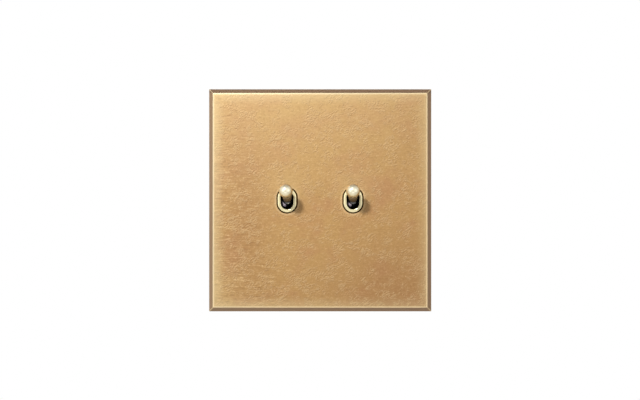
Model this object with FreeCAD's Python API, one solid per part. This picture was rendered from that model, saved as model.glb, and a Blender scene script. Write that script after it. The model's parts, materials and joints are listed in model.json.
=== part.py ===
"""Two-gang dolly switch on a square bevelled brass plate, every piece at its real size in millimetres.

The wall is the plane y = 0. The plate stands in front of it (y below 0), the mechanism behind it; z is up.
Each gang is a brass bush with an oblong collar, a dolly on a black ball, and a see-saw contact in a case.
"""
import FreeCAD
import Part
import math
import os

V = FreeCAD.Vector
AXIS_X = V(1, 0, 0)
AXIS_Y = V(0, 1, 0)
AXIS_Z = V(0, 0, 1)
OUT = "parts"

# Front plate
PLATE_SIDE = 86.0
PLATE_THICK = 5.0
PLATE_SKIN = 1.8
PLATE_RIM = 4.0
BEVEL_WIDTH = 1.75
ARRIS_RADIUS = 0.9
POCKET_CORNER = 3.0
GANG_PITCH = 25.4

# Dolly, its ball and the oblong collar round it
DOLLY_TILT = 16.0
DOLLY_REACH = 13.1
DOLLY_HEAD_R = 2.62
DOLLY_NECK_R = 1.7
NECK_STRAIGHT = 1.3
STUD_R = 0.9
STUD_LENGTH = 1.6
BALL_R = 3.2
BALL_SINK = 1.5
SLOT_SIDE_ROOM = 0.75
SLOT_END_ROOM = 0.367
SLOT_ROUND = 0.3
RING_WALL = 1.25
RING_PROUD = 0.9
RING_ROUND = 0.55
RING_GAP = 0.375

# Bush behind the plate
SEAT_ROOM = 0.25
REAR_ROOM = 0.1
POCKET_ROOM = 0.3
BUSH_WALL = 1.85
FLANGE_LIP = 3.2
FLANGE_THICK = 1.2
PIN_R = 0.6
PIN_PRESS_ROOM = 0.02
PIN_RUN_ROOM = 0.04

# Spring arm of the carrier, plunger and spring
ARM_R = 2.3
ARM_LENGTH = 8.2
ARM_ROOM = 0.4
BORE_R = 1.5
BORE_FLOOR = 1.6
PLUNGER_ROOM = 0.08
PLUNGER_TOP = 5.0
PLUNGER_REACH = 11.0
SPRING_R = 1.05
SPRING_WIRE_R = 0.18
SPRING_TURNS = 4
SPRING_SIDES = 6
SPRING_END_ROOM = 0.02

# See-saw contact
ROCKER_RATIO = 0.5
ROCKER_DROP = 3.62
ROCKER_SLOPE = 22.0
ROCKER_WIDTH = 5.0
ROCKER_THICK = 0.8
ROCKER_KNEE = 3.4
ROCKER_END_ROOM = 0.9
NOSE_GAP = 0.3
EAR_HALF = 1.6
EAR_BELOW = 1.3
CONTACT_INSET = 1.5
CONTACT_R = 1.4
CONTACT_THICK = 0.7
CONTACT_GAP = 0.05

# Terminals
TERMINAL_SIZE = 7.0
TERMINAL_DEPTH = 8.4
ARM_THICK = 1.0
WIRE_R = 1.75
SCREW_GRIP = 2.75
SCREW_R = 1.5
SCREW_HEAD_R = 2.4
SCREW_HEAD = 1.5
SCREW_SLOT = 0.7
SCREW_ROOM = 0.05
STRIP_THICK = 1.2
CRADLE_GAP = 0.3
CRADLE_THICK = 1.0
CRADLE_HALF = 2.0
CRADLE_ABOVE = 1.4

# Moulded case
CASE_WIDTH = 22.4
CASE_HEIGHT = 36.0
CASE_WALL = 1.5
CASE_FLOOR = 2.0
CASE_CORNER = 1.2
CASE_EDGE = 0.8
COVER_THICK = 3.0
FIT_ROOM = 0.2
ENTRY_ROOM = 0.35
RIB_THICK = 1.2
RIB_DROP = 3.0
BOSS_R = 2.0
BOSS_DEPTH = 9.0
CASE_SCREW_INSET = 3.0
CASE_SCREW_R = 1.2
CASE_SCREW_LENGTH = 11.0
CASE_SCREW_HEAD_R = 2.2
CASE_SCREW_HEAD = 1.2

# Steel yoke and what fastens it
YOKE_THICK = 1.2
YOKE_STANDOFF = 0.4
YOKE_ROOM = 1.0
YOKE_CORNER = 6.0
WINDOW_ROOM = 0.15
BOX_SCREW_PITCH = 60.3
BOX_SCREW_R = 1.75
BOX_SCREW_NECK_R = 1.5
BOX_SCREW_LENGTH = 25.0
BOX_SCREW_HEAD_R = 3.3
BOX_SCREW_HEAD = 1.2
BOX_SLOT_WIDTH = 4.2
BOX_SLOT_LENGTH = 6.0

# Snap fixing of the plate
SNAP_INSET = 9.0
SNAP_BASE_R = 3.0
SNAP_BASE = 0.7
SNAP_STEM_R = 1.2
SNAP_BALL_R = 2.0
SNAP_BALL_Y = 1.3
SNAP_ROOM = 0.1
CUP_WALL = 1.35
CUP_LIP = 0.95
CUP_LIP_THICK = 0.6
CUP_END = 3.6
CUP_SLIT = 0.8

# Earth terminal on a tab lanced from the yoke
EARTH_TAB_ROOM = 1.0
EARTH_TAB_WIDTH = 8.0
EARTH_TAB_LENGTH = 10.0
EARTH_SIZE = 7.0
EARTH_HEIGHT = 6.0
EARTH_START = 1.5
EARTH_BOSS_R = 1.4

# Places worked out from the sizes above
TILT = math.radians(DOLLY_TILT)
ROCKER_TILT = TILT * ROCKER_RATIO
SLOPE = math.radians(ROCKER_SLOPE)
FACE_Y = -PLATE_THICK
YOKE_Y = -YOKE_STANDOFF
YOKE_FRONT_Y = YOKE_Y - YOKE_THICK
POCKET_Y = FACE_Y + PLATE_SKIN
POCKET_HALF = PLATE_SIDE / 2 - PLATE_RIM
RING_Y = FACE_Y - RING_PROUD
PIVOT_Y = RING_Y + BALL_SINK + BALL_R
SEAT_R = BALL_R + SEAT_ROOM
DOLLY_SEAT = math.sqrt(BALL_R ** 2 - DOLLY_NECK_R ** 2)
SLOT_WIDTH = 2 * (DOLLY_NECK_R + SLOT_SIDE_ROOM)
SLOT_HEIGHT = 2 * ((PIVOT_Y - RING_Y) * math.tan(TILT) + DOLLY_NECK_R / math.cos(TILT) + SLOT_END_ROOM)
RING_WIDTH = SLOT_WIDTH + 2 * RING_WALL
RING_HEIGHT = SLOT_HEIGHT + 2 * RING_WALL
BLOCK_Y = POCKET_Y + POCKET_ROOM
FLANGE_Y = YOKE_Y + FLANGE_THICK
COVER_Y = YOKE_Y + COVER_THICK


def swing(depth):
    """Half height that the spring arm sweeps at a depth y behind the pivot."""
    return (depth - PIVOT_Y) * math.tan(TILT) + ARM_R / math.cos(TILT) + ARM_ROOM


REAR_HALF_X = SEAT_R + REAR_ROOM
REAR_HALF_Z = max(SEAT_R + REAR_ROOM, swing(FLANGE_Y))
BLOCK_HALF_X = REAR_HALF_X + BUSH_WALL
BLOCK_HALF_Z = max(REAR_HALF_Z, RING_HEIGHT / 2) + BUSH_WALL / 2
FLANGE_HALF_X = BLOCK_HALF_X + FLANGE_LIP
FLANGE_HALF_Z = BLOCK_HALF_Z + FLANGE_LIP
TERMINAL_X = CASE_WIDTH / 2 - CASE_WALL - FIT_ROOM - TERMINAL_SIZE / 2
TERMINAL_Z = CASE_HEIGHT / 2 - CASE_WALL - FIT_ROOM - TERMINAL_SIZE / 2
ROCKER_HALF = TERMINAL_Z - TERMINAL_SIZE / 2 - ROCKER_END_ROOM
CONTACT_AT = ROCKER_HALF - CONTACT_INSET
EARTH_TAB_Z = -CASE_HEIGHT / 2 - EARTH_TAB_ROOM
PLUNGER_R = BORE_R - PLUNGER_ROOM
ROCKER_Y = PIVOT_Y + PLUNGER_REACH - PLUNGER_R + ROCKER_DROP
VERTEX = ROCKER_DROP - (PLUNGER_R + NOSE_GAP) / math.cos(SLOPE)
KNEE_RISE = VERTEX + ROCKER_KNEE * math.tan(SLOPE)
CONTACT_RISE = KNEE_RISE + (CONTACT_AT - ROCKER_KNEE) * math.tan(ROCKER_TILT)
SHUT_Y = ROCKER_Y - CONTACT_RISE * math.cos(ROCKER_TILT) + CONTACT_AT * math.sin(ROCKER_TILT)
FIXED_Z = CONTACT_RISE * math.sin(ROCKER_TILT) + CONTACT_AT * math.cos(ROCKER_TILT)
ARM_Y = SHUT_Y + ROCKER_THICK + 2 * CONTACT_THICK + CONTACT_GAP
FLOOR_Y = ARM_Y + TERMINAL_DEPTH
CASE_END_Y = FLOOR_Y + CASE_FLOOR
WIRE_Y = FLOOR_Y - SCREW_GRIP - WIRE_R
CRADLE_X = ROCKER_WIDTH / 2 + CRADLE_GAP
CASE_SCREW_Z = CASE_HEIGHT / 2 - CASE_SCREW_INSET
YOKE_HALF = POCKET_HALF - YOKE_ROOM
SNAP_AT = YOKE_HALF - SNAP_INSET
GANGS = {"left": -GANG_PITCH / 2, "right": GANG_PITCH / 2}


def box(x0, x1, y0, y1, z0, z1):
    """Block between two corners."""
    return Part.makeBox(x1 - x0, y1 - y0, z1 - z0, V(x0, y0, z0))


def centred(half_x, half_z, y0, y1):
    """Block centred on the Y axis."""
    return box(-half_x, half_x, y0, y1, -half_z, half_z)


def rod(radius, start, direction, length):
    """Round bar from a point along a direction."""
    return Part.makeCylinder(radius, length, start, direction)


def closed_wire(points):
    """Wire of straight edges through the points and back to the first."""
    return Part.makePolygon(points + [points[0]])


def stadium(width, height, y0, y1):
    """Upright oblong prism with round ends, along Y."""
    r = width / 2
    straight = (height - width) / 2
    right = Part.LineSegment(V(r, y0, -straight), V(r, y0, straight))
    top = Part.Arc(V(r, y0, straight), V(0, y0, straight + r), V(-r, y0, straight))
    left = Part.LineSegment(V(-r, y0, straight), V(-r, y0, -straight))
    bottom = Part.Arc(V(-r, y0, -straight), V(0, y0, -straight - r), V(r, y0, -straight))
    wire = Part.Wire([edge.toShape() for edge in (right, top, left, bottom)])
    return Part.Face(wire).extrude(V(0, y1 - y0, 0))


def edges_at(shape, y, inside=None):
    """Edges that lie in the plane of this y, within a box of half sizes where one is given."""
    found = []
    for edge in shape.Edges:
        b = edge.BoundBox
        if abs(b.YMin - y) > 1e-4 or abs(b.YMax - y) > 1e-4:
            continue
        reach_x = max(b.XMax, -b.XMin)
        reach_z = max(b.ZMax, -b.ZMin)
        if inside and (reach_x > inside[0] or reach_z > inside[1]):
            continue
        found.append(edge)
    return found


def edges_along_y(shape):
    """Straight edges parallel to Y."""
    found = []
    for edge in shape.Edges:
        b = edge.BoundBox
        if b.XLength < 1e-4 and b.ZLength < 1e-4:
            found.append(edge)
    return found


def slotted(head, start, radius, depth):
    """Cuts a screwdriver slot across the face of a head."""
    across = box(-radius - 1, radius + 1, -depth, depth, -SCREW_SLOT / 2, SCREW_SLOT / 2)
    across.translate(start)
    return head.cut(across)


def on_dolly_axis(shape):
    """Turns a shape made along +Z at the origin onto the dolly's axis in its up position."""
    shape.rotate(V(0, 0, 0), AXIS_X, 90 - DOLLY_TILT)
    shape.translate(V(0, PIVOT_Y, 0))
    return shape


def on_rocker(shape):
    """Turns a shape made at the rocker's pivot to the rocker's place with the dolly up."""
    shape.rotate(V(0, 0, 0), AXIS_X, math.degrees(ROCKER_TILT))
    shape.translate(V(0, ROCKER_Y, 0))
    return shape


def front_plate():
    """Solid plate with mitred bevels, softened arrises, a milled back pocket and two oblong holes."""
    half = PLATE_SIDE / 2
    tangent = ARRIS_RADIUS * math.tan(math.pi / 8)
    lean = tangent * math.sqrt(0.5)
    bend = ARRIS_RADIUS * (1 - math.cos(math.pi / 8))
    shoulder_y = FACE_Y + BEVEL_WIDTH
    inner = half - BEVEL_WIDTH
    middle_x = inner - tangent + ARRIS_RADIUS * math.sin(math.pi / 8)

    def side(sign):
        foot = V(sign * half, 0, 0)
        shoulder = V(sign * half, shoulder_y, 0)
        low = V(sign * (inner + lean), FACE_Y + lean, 0)
        middle = V(sign * middle_x, FACE_Y + bend, 0)
        high = V(sign * (inner - tangent), FACE_Y, 0)
        return foot, shoulder, low, middle, high

    foot, shoulder, low, middle, high = side(1)
    foot2, shoulder2, low2, middle2, high2 = side(-1)
    edges = [
        Part.LineSegment(foot, shoulder),
        Part.LineSegment(shoulder, low),
        Part.Arc(low, middle, high),
        Part.LineSegment(high, high2),
        Part.Arc(high2, middle2, low2),
        Part.LineSegment(low2, shoulder2),
        Part.LineSegment(shoulder2, foot2),
        Part.LineSegment(foot2, foot),
    ]
    profile = Part.Face(Part.Wire([edge.toShape() for edge in edges]))
    upright = profile.copy()
    upright.translate(V(0, 0, -half))
    upright = upright.extrude(V(0, 0, PLATE_SIDE))
    across = upright.copy()
    across.rotate(V(0, 0, 0), AXIS_Y, 90)
    plate = upright.common(across)
    pocket = centred(POCKET_HALF, POCKET_HALF, POCKET_Y, 1)
    plate = plate.cut(pocket.makeFillet(POCKET_CORNER, edges_along_y(pocket)))
    for x in GANGS.values():
        hole = stadium(RING_WIDTH + 2 * RING_GAP, RING_HEIGHT + 2 * RING_GAP, FACE_Y - 1, POCKET_Y + 1)
        hole.translate(V(x, 0, 0))
        plate = plate.cut(hole)
    return plate


def bush():
    """Brass bush: oblong collar through the plate, ball seat and pin bore behind, and a clamping flange."""
    ring = stadium(RING_WIDTH, RING_HEIGHT, RING_Y, BLOCK_Y)
    ring = ring.makeFillet(RING_ROUND, edges_at(ring, RING_Y))
    block = centred(BLOCK_HALF_X, BLOCK_HALF_Z, BLOCK_Y, YOKE_Y)
    flange = centred(FLANGE_HALF_X, FLANGE_HALF_Z, YOKE_Y, FLANGE_Y)
    body = ring.fuse([block, flange]).removeSplitter()
    body = body.cut(stadium(SLOT_WIDTH, SLOT_HEIGHT, RING_Y - 1, PIVOT_Y))
    body = body.cut(Part.makeSphere(SEAT_R, V(0, PIVOT_Y, 0)))
    body = body.cut(centred(REAR_HALF_X, REAR_HALF_Z, PIVOT_Y, FLANGE_Y + 1))
    bore = rod(PIN_R + PIN_PRESS_ROOM, V(-BLOCK_HALF_X - 1, PIVOT_Y, 0), AXIS_X, 2 * BLOCK_HALF_X + 2)
    body = body.cut(bore)
    mouth = edges_at(body, RING_Y, (SLOT_WIDTH / 2 + 1e-3, SLOT_HEIGHT / 2 + 1e-3))
    return body.makeFillet(SLOT_ROUND, mouth)


def dolly():
    """Turned teardrop lever: threaded stud, straight neck, hollow flare and round head."""
    flare_z = DOLLY_SEAT + NECK_STRAIGHT
    rise = DOLLY_REACH - flare_z
    grow = DOLLY_HEAD_R - DOLLY_NECK_R
    flare_r = (rise ** 2 / grow - DOLLY_HEAD_R - DOLLY_NECK_R) / 2
    centre = V(DOLLY_NECK_R + flare_r, 0, flare_z)
    toward = V(centre.x, 0, flare_z - DOLLY_REACH).normalize()
    meet = V(0, 0, DOLLY_REACH) + toward * DOLLY_HEAD_R
    half_angle = math.asin((meet.z - flare_z) / flare_r) / 2
    flare_mid = centre + V(-math.cos(half_angle), 0, math.sin(half_angle)) * flare_r
    crown = math.radians(45)
    head_mid = V(DOLLY_HEAD_R * math.cos(crown), 0, DOLLY_REACH + DOLLY_HEAD_R * math.sin(crown))
    tip = V(0, 0, DOLLY_REACH + DOLLY_HEAD_R)
    foot_z = DOLLY_SEAT - STUD_LENGTH
    edges = [
        Part.LineSegment(V(0, 0, foot_z), V(STUD_R, 0, foot_z)),
        Part.LineSegment(V(STUD_R, 0, foot_z), V(STUD_R, 0, DOLLY_SEAT)),
        Part.LineSegment(V(STUD_R, 0, DOLLY_SEAT), V(DOLLY_NECK_R, 0, DOLLY_SEAT)),
        Part.LineSegment(V(DOLLY_NECK_R, 0, DOLLY_SEAT), V(DOLLY_NECK_R, 0, flare_z)),
        Part.Arc(V(DOLLY_NECK_R, 0, flare_z), flare_mid, meet),
        Part.Arc(meet, head_mid, tip),
        Part.LineSegment(tip, V(0, 0, foot_z)),
    ]
    profile = Part.Face(Part.Wire([edge.toShape() for edge in edges]))
    return on_dolly_axis(profile.revolve(V(0, 0, 0), AXIS_Z, 360))


def dolly_carrier():
    """Black ball that fills the collar, with a flat for the dolly and a bored spring arm behind."""
    body = Part.makeSphere(BALL_R).fuse(rod(ARM_R, V(0, 0, -ARM_LENGTH), AXIS_Z, ARM_LENGTH))
    body = body.cut(rod(BALL_R, V(0, 0, DOLLY_SEAT), AXIS_Z, BALL_R))
    stud_room = STUD_LENGTH + SCREW_ROOM
    body = body.cut(rod(STUD_R + SCREW_ROOM, V(0, 0, DOLLY_SEAT - stud_room), AXIS_Z, stud_room + 1))
    body = body.cut(rod(BORE_R, V(0, 0, -ARM_LENGTH - 1), AXIS_Z, ARM_LENGTH + 1 - BORE_FLOOR))
    body = body.cut(rod(PIN_R + PIN_RUN_ROOM, V(-BALL_R - 1, 0, 0), AXIS_X, 2 * BALL_R + 2))
    return on_dolly_axis(body)


def pivot_pin():
    """Steel pin across the bush that the dolly's ball turns on."""
    return rod(PIN_R, V(-BLOCK_HALF_X, PIVOT_Y, 0), AXIS_X, 2 * BLOCK_HALF_X)


def plunger():
    """Round-nosed plunger that slides in the spring arm."""
    straight = PLUNGER_REACH - PLUNGER_R - PLUNGER_TOP
    body = rod(PLUNGER_R, V(0, 0, -PLUNGER_TOP - straight), AXIS_Z, straight)
    nose = Part.makeSphere(PLUNGER_R, V(0, 0, -PLUNGER_TOP - straight))
    return on_dolly_axis(body.fuse(nose).removeSplitter())


def plunger_spring():
    """Coil spring between the floor of the arm's bore and the plunger."""
    margin = SPRING_WIRE_R + SPRING_END_ROOM
    length = PLUNGER_TOP - BORE_FLOOR - 2 * margin
    path = Part.Wire(Part.makeHelix(length / SPRING_TURNS, length, SPRING_R).Edges)
    turns = [2 * math.pi * k / SPRING_SIDES for k in range(SPRING_SIDES)]
    section = closed_wire([
        V(SPRING_R + SPRING_WIRE_R * math.cos(a), 0, SPRING_WIRE_R * math.sin(a)) for a in turns
    ])
    coil = path.makePipeShell([section], True, True)
    coil.translate(V(0, 0, -PLUNGER_TOP + margin))
    return on_dolly_axis(coil)


def rocker():
    """Brass see-saw: a folded strip with a V where the plunger runs, flat wings, and two pivot ears."""
    wing_rise = KNEE_RISE + (ROCKER_HALF - ROCKER_KNEE) * math.tan(ROCKER_TILT)
    top = [
        (-ROCKER_HALF, -wing_rise),
        (-ROCKER_KNEE, -KNEE_RISE),
        (0, -VERTEX),
        (ROCKER_KNEE, -KNEE_RISE),
        (ROCKER_HALF, -wing_rise),
    ]
    under = [(z, y + ROCKER_THICK) for z, y in reversed(top)]
    outline = [V(-ROCKER_WIDTH / 2, y, z) for z, y in top + under]
    strip = Part.Face(closed_wire(outline)).extrude(V(ROCKER_WIDTH, 0, 0))
    ear_top = -VERTEX - EAR_HALF * math.tan(SLOPE)
    ear_outline = [
        (0, -VERTEX),
        (EAR_HALF, ear_top),
        (EAR_HALF, EAR_BELOW),
        (-EAR_HALF, EAR_BELOW),
        (-EAR_HALF, ear_top),
    ]
    for x in (-ROCKER_WIDTH / 2, ROCKER_WIDTH / 2 - ROCKER_THICK):
        ear = Part.Face(closed_wire([V(x, y, z) for z, y in ear_outline])).extrude(V(ROCKER_THICK, 0, 0))
        strip = strip.fuse(ear)
    hole = rod(PIN_R + PIN_PRESS_ROOM, V(-ROCKER_WIDTH, 0, 0), AXIS_X, 2 * ROCKER_WIDTH)
    return on_rocker(strip.cut(hole).removeSplitter())


def rocker_pin():
    """Pin that carries the see-saw in its cradle."""
    half = CRADLE_X + CRADLE_THICK
    return on_rocker(rod(PIN_R, V(-half, 0, 0), AXIS_X, 2 * half))


def rocker_contacts():
    """Silver buttons under the two wings of the see-saw."""
    buttons = []
    for sign in (-1, 1):
        lean = V(0, math.cos(ROCKER_TILT), sign * math.sin(ROCKER_TILT))
        seat = V(0, -CONTACT_RISE, sign * CONTACT_AT) + lean * (ROCKER_THICK * math.cos(ROCKER_TILT))
        buttons.append(rod(CONTACT_R, seat, lean, CONTACT_THICK))
    return on_rocker(Part.Compound(buttons))


def fixed_contacts():
    """Silver buttons on the two way terminals, face to face with the see-saw's."""
    face_y = ARM_Y - CONTACT_THICK
    places = [V(0, face_y, sign * FIXED_Z) for sign in (-1, 1)]
    return Part.Compound([rod(CONTACT_R, place, AXIS_Y, CONTACT_THICK) for place in places])


def terminal_block(x, z):
    """Pillar terminal with a wire hole along Z and a clamp screw hole from the back."""
    half = TERMINAL_SIZE / 2
    block = box(x - half, x + half, ARM_Y, FLOOR_Y, z - half, z + half)
    block = block.cut(rod(WIRE_R, V(x, WIRE_Y, z - half - 1), AXIS_Z, TERMINAL_SIZE + 2))
    return block.cut(rod(SCREW_R + SCREW_ROOM, V(x, WIRE_Y, z), AXIS_Y, FLOOR_Y - WIRE_Y + 1))


def way_terminal(sign):
    """Terminal at the top (1) or bottom (-1) of the case, with an arm under that end of the see-saw."""
    block = terminal_block(-TERMINAL_X, sign * TERMINAL_Z)
    near = FIXED_Z - CONTACT_R - FIT_ROOM
    far = TERMINAL_Z - TERMINAL_SIZE / 4
    z0, z1 = sorted((sign * near, sign * far))
    arm = box(-TERMINAL_X, CONTACT_R + FIT_ROOM, ARM_Y, ARM_Y + ARM_THICK, z0, z1)
    spare = box(-TERMINAL_X + TERMINAL_SIZE / 2, TERMINAL_X, ARM_Y - 1, FLOOR_Y,
                *sorted((sign * (TERMINAL_Z - TERMINAL_SIZE / 2), sign * CASE_HEIGHT)))
    return block.fuse(arm.cut(spare)).removeSplitter()


def common_terminal():
    """Common terminal: block, strip along the floor, and the two cheeks that cradle the see-saw."""
    block = terminal_block(TERMINAL_X, TERMINAL_Z)
    outer = CRADLE_X + CRADLE_THICK
    strip_y = FLOOR_Y - STRIP_THICK
    base = box(-outer, outer, strip_y, FLOOR_Y, -CRADLE_HALF, CRADLE_HALF)
    strip_end = TERMINAL_Z - TERMINAL_SIZE / 2
    strip = box(CRADLE_X, TERMINAL_X + CRADLE_THICK, strip_y, FLOOR_Y, -CRADLE_HALF, strip_end)
    body = block.fuse([base, strip])
    for x in (-outer, CRADLE_X):
        cheek = box(x, x + CRADLE_THICK, ROCKER_Y, strip_y, -CRADLE_HALF, CRADLE_HALF)
        crown = rod(CRADLE_HALF, V(x, ROCKER_Y, 0), AXIS_X, CRADLE_THICK)
        body = body.fuse([cheek, crown])
    hole = rod(PIN_R + PIN_RUN_ROOM, V(-outer - 1, ROCKER_Y, 0), AXIS_X, 2 * outer + 2)
    return body.cut(hole).removeSplitter()


def clamp_screw(x, y, z, grip):
    """Slotted clamp screw driven along -Y, with its head seated at this y."""
    head = rod(SCREW_HEAD_R, V(x, y, z), AXIS_Y, SCREW_HEAD)
    head = slotted(head, V(x, y + SCREW_HEAD, z), SCREW_HEAD_R, SCREW_HEAD / 2)
    return head.fuse(rod(SCREW_R, V(x, y - grip, z), AXIS_Y, grip))


def terminal_places():
    """X and z of the three terminals of a case."""
    return [(-TERMINAL_X, TERMINAL_Z), (TERMINAL_X, TERMINAL_Z), (-TERMINAL_X, -TERMINAL_Z)]


def terminal_screws():
    """The three clamp screws of one case."""
    return Part.Compound([clamp_screw(x, FLOOR_Y, z, SCREW_GRIP) for x, z in terminal_places()])


def housing():
    """Moulded case: open at the front, with terminal chambers, wire entries, screw wells and two bosses."""
    outer = centred(CASE_WIDTH / 2, CASE_HEIGHT / 2, COVER_Y, CASE_END_Y)
    outer = outer.makeFillet(CASE_CORNER, edges_along_y(outer))
    outer = outer.makeFillet(CASE_EDGE, edges_at(outer, CASE_END_Y))
    inner_x = CASE_WIDTH / 2 - CASE_WALL
    inner_z = CASE_HEIGHT / 2 - CASE_WALL
    body = outer.cut(centred(inner_x, inner_z, COVER_Y - 1, FLOOR_Y))
    for sign in (-1, 1):
        z0, z1 = sorted((sign * (TERMINAL_Z - TERMINAL_SIZE / 2), sign * (inner_z + CASE_WALL / 2)))
        rib = box(-RIB_THICK / 2, RIB_THICK / 2, COVER_Y + RIB_DROP, FLOOR_Y + CASE_FLOOR / 2, z0, z1)
        boss = rod(BOSS_R, V(0, COVER_Y, sign * CASE_SCREW_Z), AXIS_Y, BOSS_DEPTH)
        body = body.fuse([rib, boss])
    for sign in (-1, 1):
        pilot = rod(CASE_SCREW_R + SCREW_ROOM, V(0, COVER_Y - 1, sign * CASE_SCREW_Z), AXIS_Y, BOSS_DEPTH)
        body = body.cut(pilot)
    for x, z in terminal_places():
        way = 1 if z > 0 else -1
        entry = rod(WIRE_R + ENTRY_ROOM, V(x, WIRE_Y, way * (inner_z - 1)), V(0, 0, way), CASE_WALL + 2)
        well = rod(SCREW_HEAD_R + FIT_ROOM, V(x, FLOOR_Y - 1, z), AXIS_Y, CASE_FLOOR + 2)
        body = body.cut(entry).cut(well)
    return body.removeSplitter()


def housing_cover():
    """Moulded lid of the case: a recess for the bush's flange and a window for the spring arm."""
    body = centred(CASE_WIDTH / 2, CASE_HEIGHT / 2, YOKE_Y, COVER_Y)
    body = body.makeFillet(CASE_CORNER, edges_along_y(body))
    recess = centred(FLANGE_HALF_X + FIT_ROOM / 2, FLANGE_HALF_Z + FIT_ROOM / 2, YOKE_Y - 1, FLANGE_Y)
    window = centred(ARM_R + ARM_ROOM, swing(COVER_Y), YOKE_Y, COVER_Y + 1)
    body = body.cut(recess).cut(window)
    for sign in (-1, 1):
        start = V(0, YOKE_Y - 1, sign * CASE_SCREW_Z)
        body = body.cut(rod(CASE_SCREW_R + FIT_ROOM, start, AXIS_Y, COVER_THICK + 2))
    return body


def module_screws():
    """The two slotted screws that hold the yoke, cover and case together."""
    screws = []
    for sign in (-1, 1):
        z = sign * CASE_SCREW_Z
        seat = YOKE_FRONT_Y
        head = rod(CASE_SCREW_HEAD_R, V(0, seat - CASE_SCREW_HEAD, z), AXIS_Y, CASE_SCREW_HEAD)
        head = slotted(head, V(0, seat - CASE_SCREW_HEAD, z), CASE_SCREW_HEAD_R, CASE_SCREW_HEAD / 2)
        screws.append(head.fuse(rod(CASE_SCREW_R, V(0, seat, z), AXIS_Y, CASE_SCREW_LENGTH)))
    return Part.Compound(screws)


def snap_places():
    """Corners where the plate snaps onto the yoke."""
    return [(x, z) for x in (-SNAP_AT, SNAP_AT) for z in (-SNAP_AT, SNAP_AT)]


def cup_barrel_r():
    """Outside radius of a snap cup's barrel."""
    return SNAP_BALL_R + SNAP_ROOM + CUP_WALL


def yoke():
    """Pressed steel yoke with windows for the bushes, fixing slots, snap holes and a lanced earth tab."""
    full = YOKE_HALF
    short = YOKE_HALF - YOKE_CORNER
    corners = [
        (-short, -full), (short, -full), (full, -short), (full, short),
        (short, full), (-short, full), (-full, short), (-full, -short),
    ]
    outline = [V(x, YOKE_FRONT_Y, z) for x, z in corners]
    plate = Part.Face(closed_wire(outline)).extrude(V(0, YOKE_THICK, 0))
    tab_low = EARTH_TAB_Z - YOKE_THICK
    tab_x = EARTH_TAB_WIDTH / 2
    lance_x = tab_x + FIT_ROOM
    plate = plate.cut(box(-lance_x, lance_x, YOKE_FRONT_Y - 1, 1, tab_low - EARTH_TAB_LENGTH, tab_low))
    tab = box(-tab_x, tab_x, YOKE_FRONT_Y, EARTH_TAB_LENGTH, tab_low, EARTH_TAB_Z)
    bend = [e for e in edges_at(tab, YOKE_FRONT_Y) if abs(e.BoundBox.ZMax - tab_low) < 1e-4]
    root = box(-tab_x, tab_x, YOKE_FRONT_Y - 1, 1, tab_low, EARTH_TAB_Z)
    plate = plate.cut(root)
    plate = plate.fuse(tab.makeFillet(YOKE_THICK * 0.9, bend)).removeSplitter()
    cuts = [rod(EARTH_BOSS_R + SCREW_ROOM, V(0, earth_middle(), tab_low - 1), AXIS_Z, YOKE_THICK + 2)]
    for x in GANGS.values():
        window = centred(BLOCK_HALF_X + WINDOW_ROOM, BLOCK_HALF_Z + WINDOW_ROOM, YOKE_FRONT_Y - 1, 1)
        window.translate(V(x, 0, 0))
        cuts.append(window)
        for sign in (-1, 1):
            start = V(x, YOKE_FRONT_Y - 1, sign * CASE_SCREW_Z)
            cuts.append(rod(CASE_SCREW_R + FIT_ROOM, start, AXIS_Y, YOKE_THICK + 2))
    for sign in (-1, 1):
        slot = stadium(BOX_SLOT_WIDTH, BOX_SLOT_LENGTH, YOKE_FRONT_Y - 1, 1)
        slot.rotate(V(0, 0, 0), AXIS_Y, 90)
        slot.translate(V(sign * BOX_SCREW_PITCH / 2, 0, 0))
        cuts.append(slot)
    for x, z in snap_places():
        cuts.append(rod(cup_barrel_r() + SNAP_ROOM / 2, V(x, YOKE_FRONT_Y - 1, z), AXIS_Y, YOKE_THICK + 2))
    return plate.cut(cuts)


def box_screws():
    """The two screws that hold the yoke to a wall box, undercut below the head."""
    screws = []
    for sign in (-1, 1):
        x = sign * BOX_SCREW_PITCH / 2
        seat = YOKE_FRONT_Y
        head = rod(BOX_SCREW_HEAD_R, V(x, seat - BOX_SCREW_HEAD, 0), AXIS_Y, BOX_SCREW_HEAD)
        head = head.makeFillet(BOX_SCREW_HEAD / 2, edges_at(head, seat - BOX_SCREW_HEAD))
        head = slotted(head, V(x, seat - BOX_SCREW_HEAD, 0), BOX_SCREW_HEAD_R, BOX_SCREW_HEAD / 2)
        neck = rod(BOX_SCREW_NECK_R, V(x, seat, 0), AXIS_Y, 2 * YOKE_THICK)
        thread = rod(BOX_SCREW_R, V(x, seat + 2 * YOKE_THICK, 0), AXIS_Y, BOX_SCREW_LENGTH - 2 * YOKE_THICK)
        screws.append(head.fuse([neck, thread]))
    return Part.Compound(screws)


def plate_studs():
    """Ball studs soldered to the back of the plate."""
    studs = []
    for x, z in snap_places():
        base = rod(SNAP_BASE_R, V(x, POCKET_Y, z), AXIS_Y, SNAP_BASE)
        stem = rod(SNAP_STEM_R, V(x, POCKET_Y, z), AXIS_Y, SNAP_BALL_Y - POCKET_Y)
        ball = Part.makeSphere(SNAP_BALL_R, V(x, SNAP_BALL_Y, z))
        studs.append(base.fuse([stem, ball]).removeSplitter())
    return Part.Compound(studs)


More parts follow.
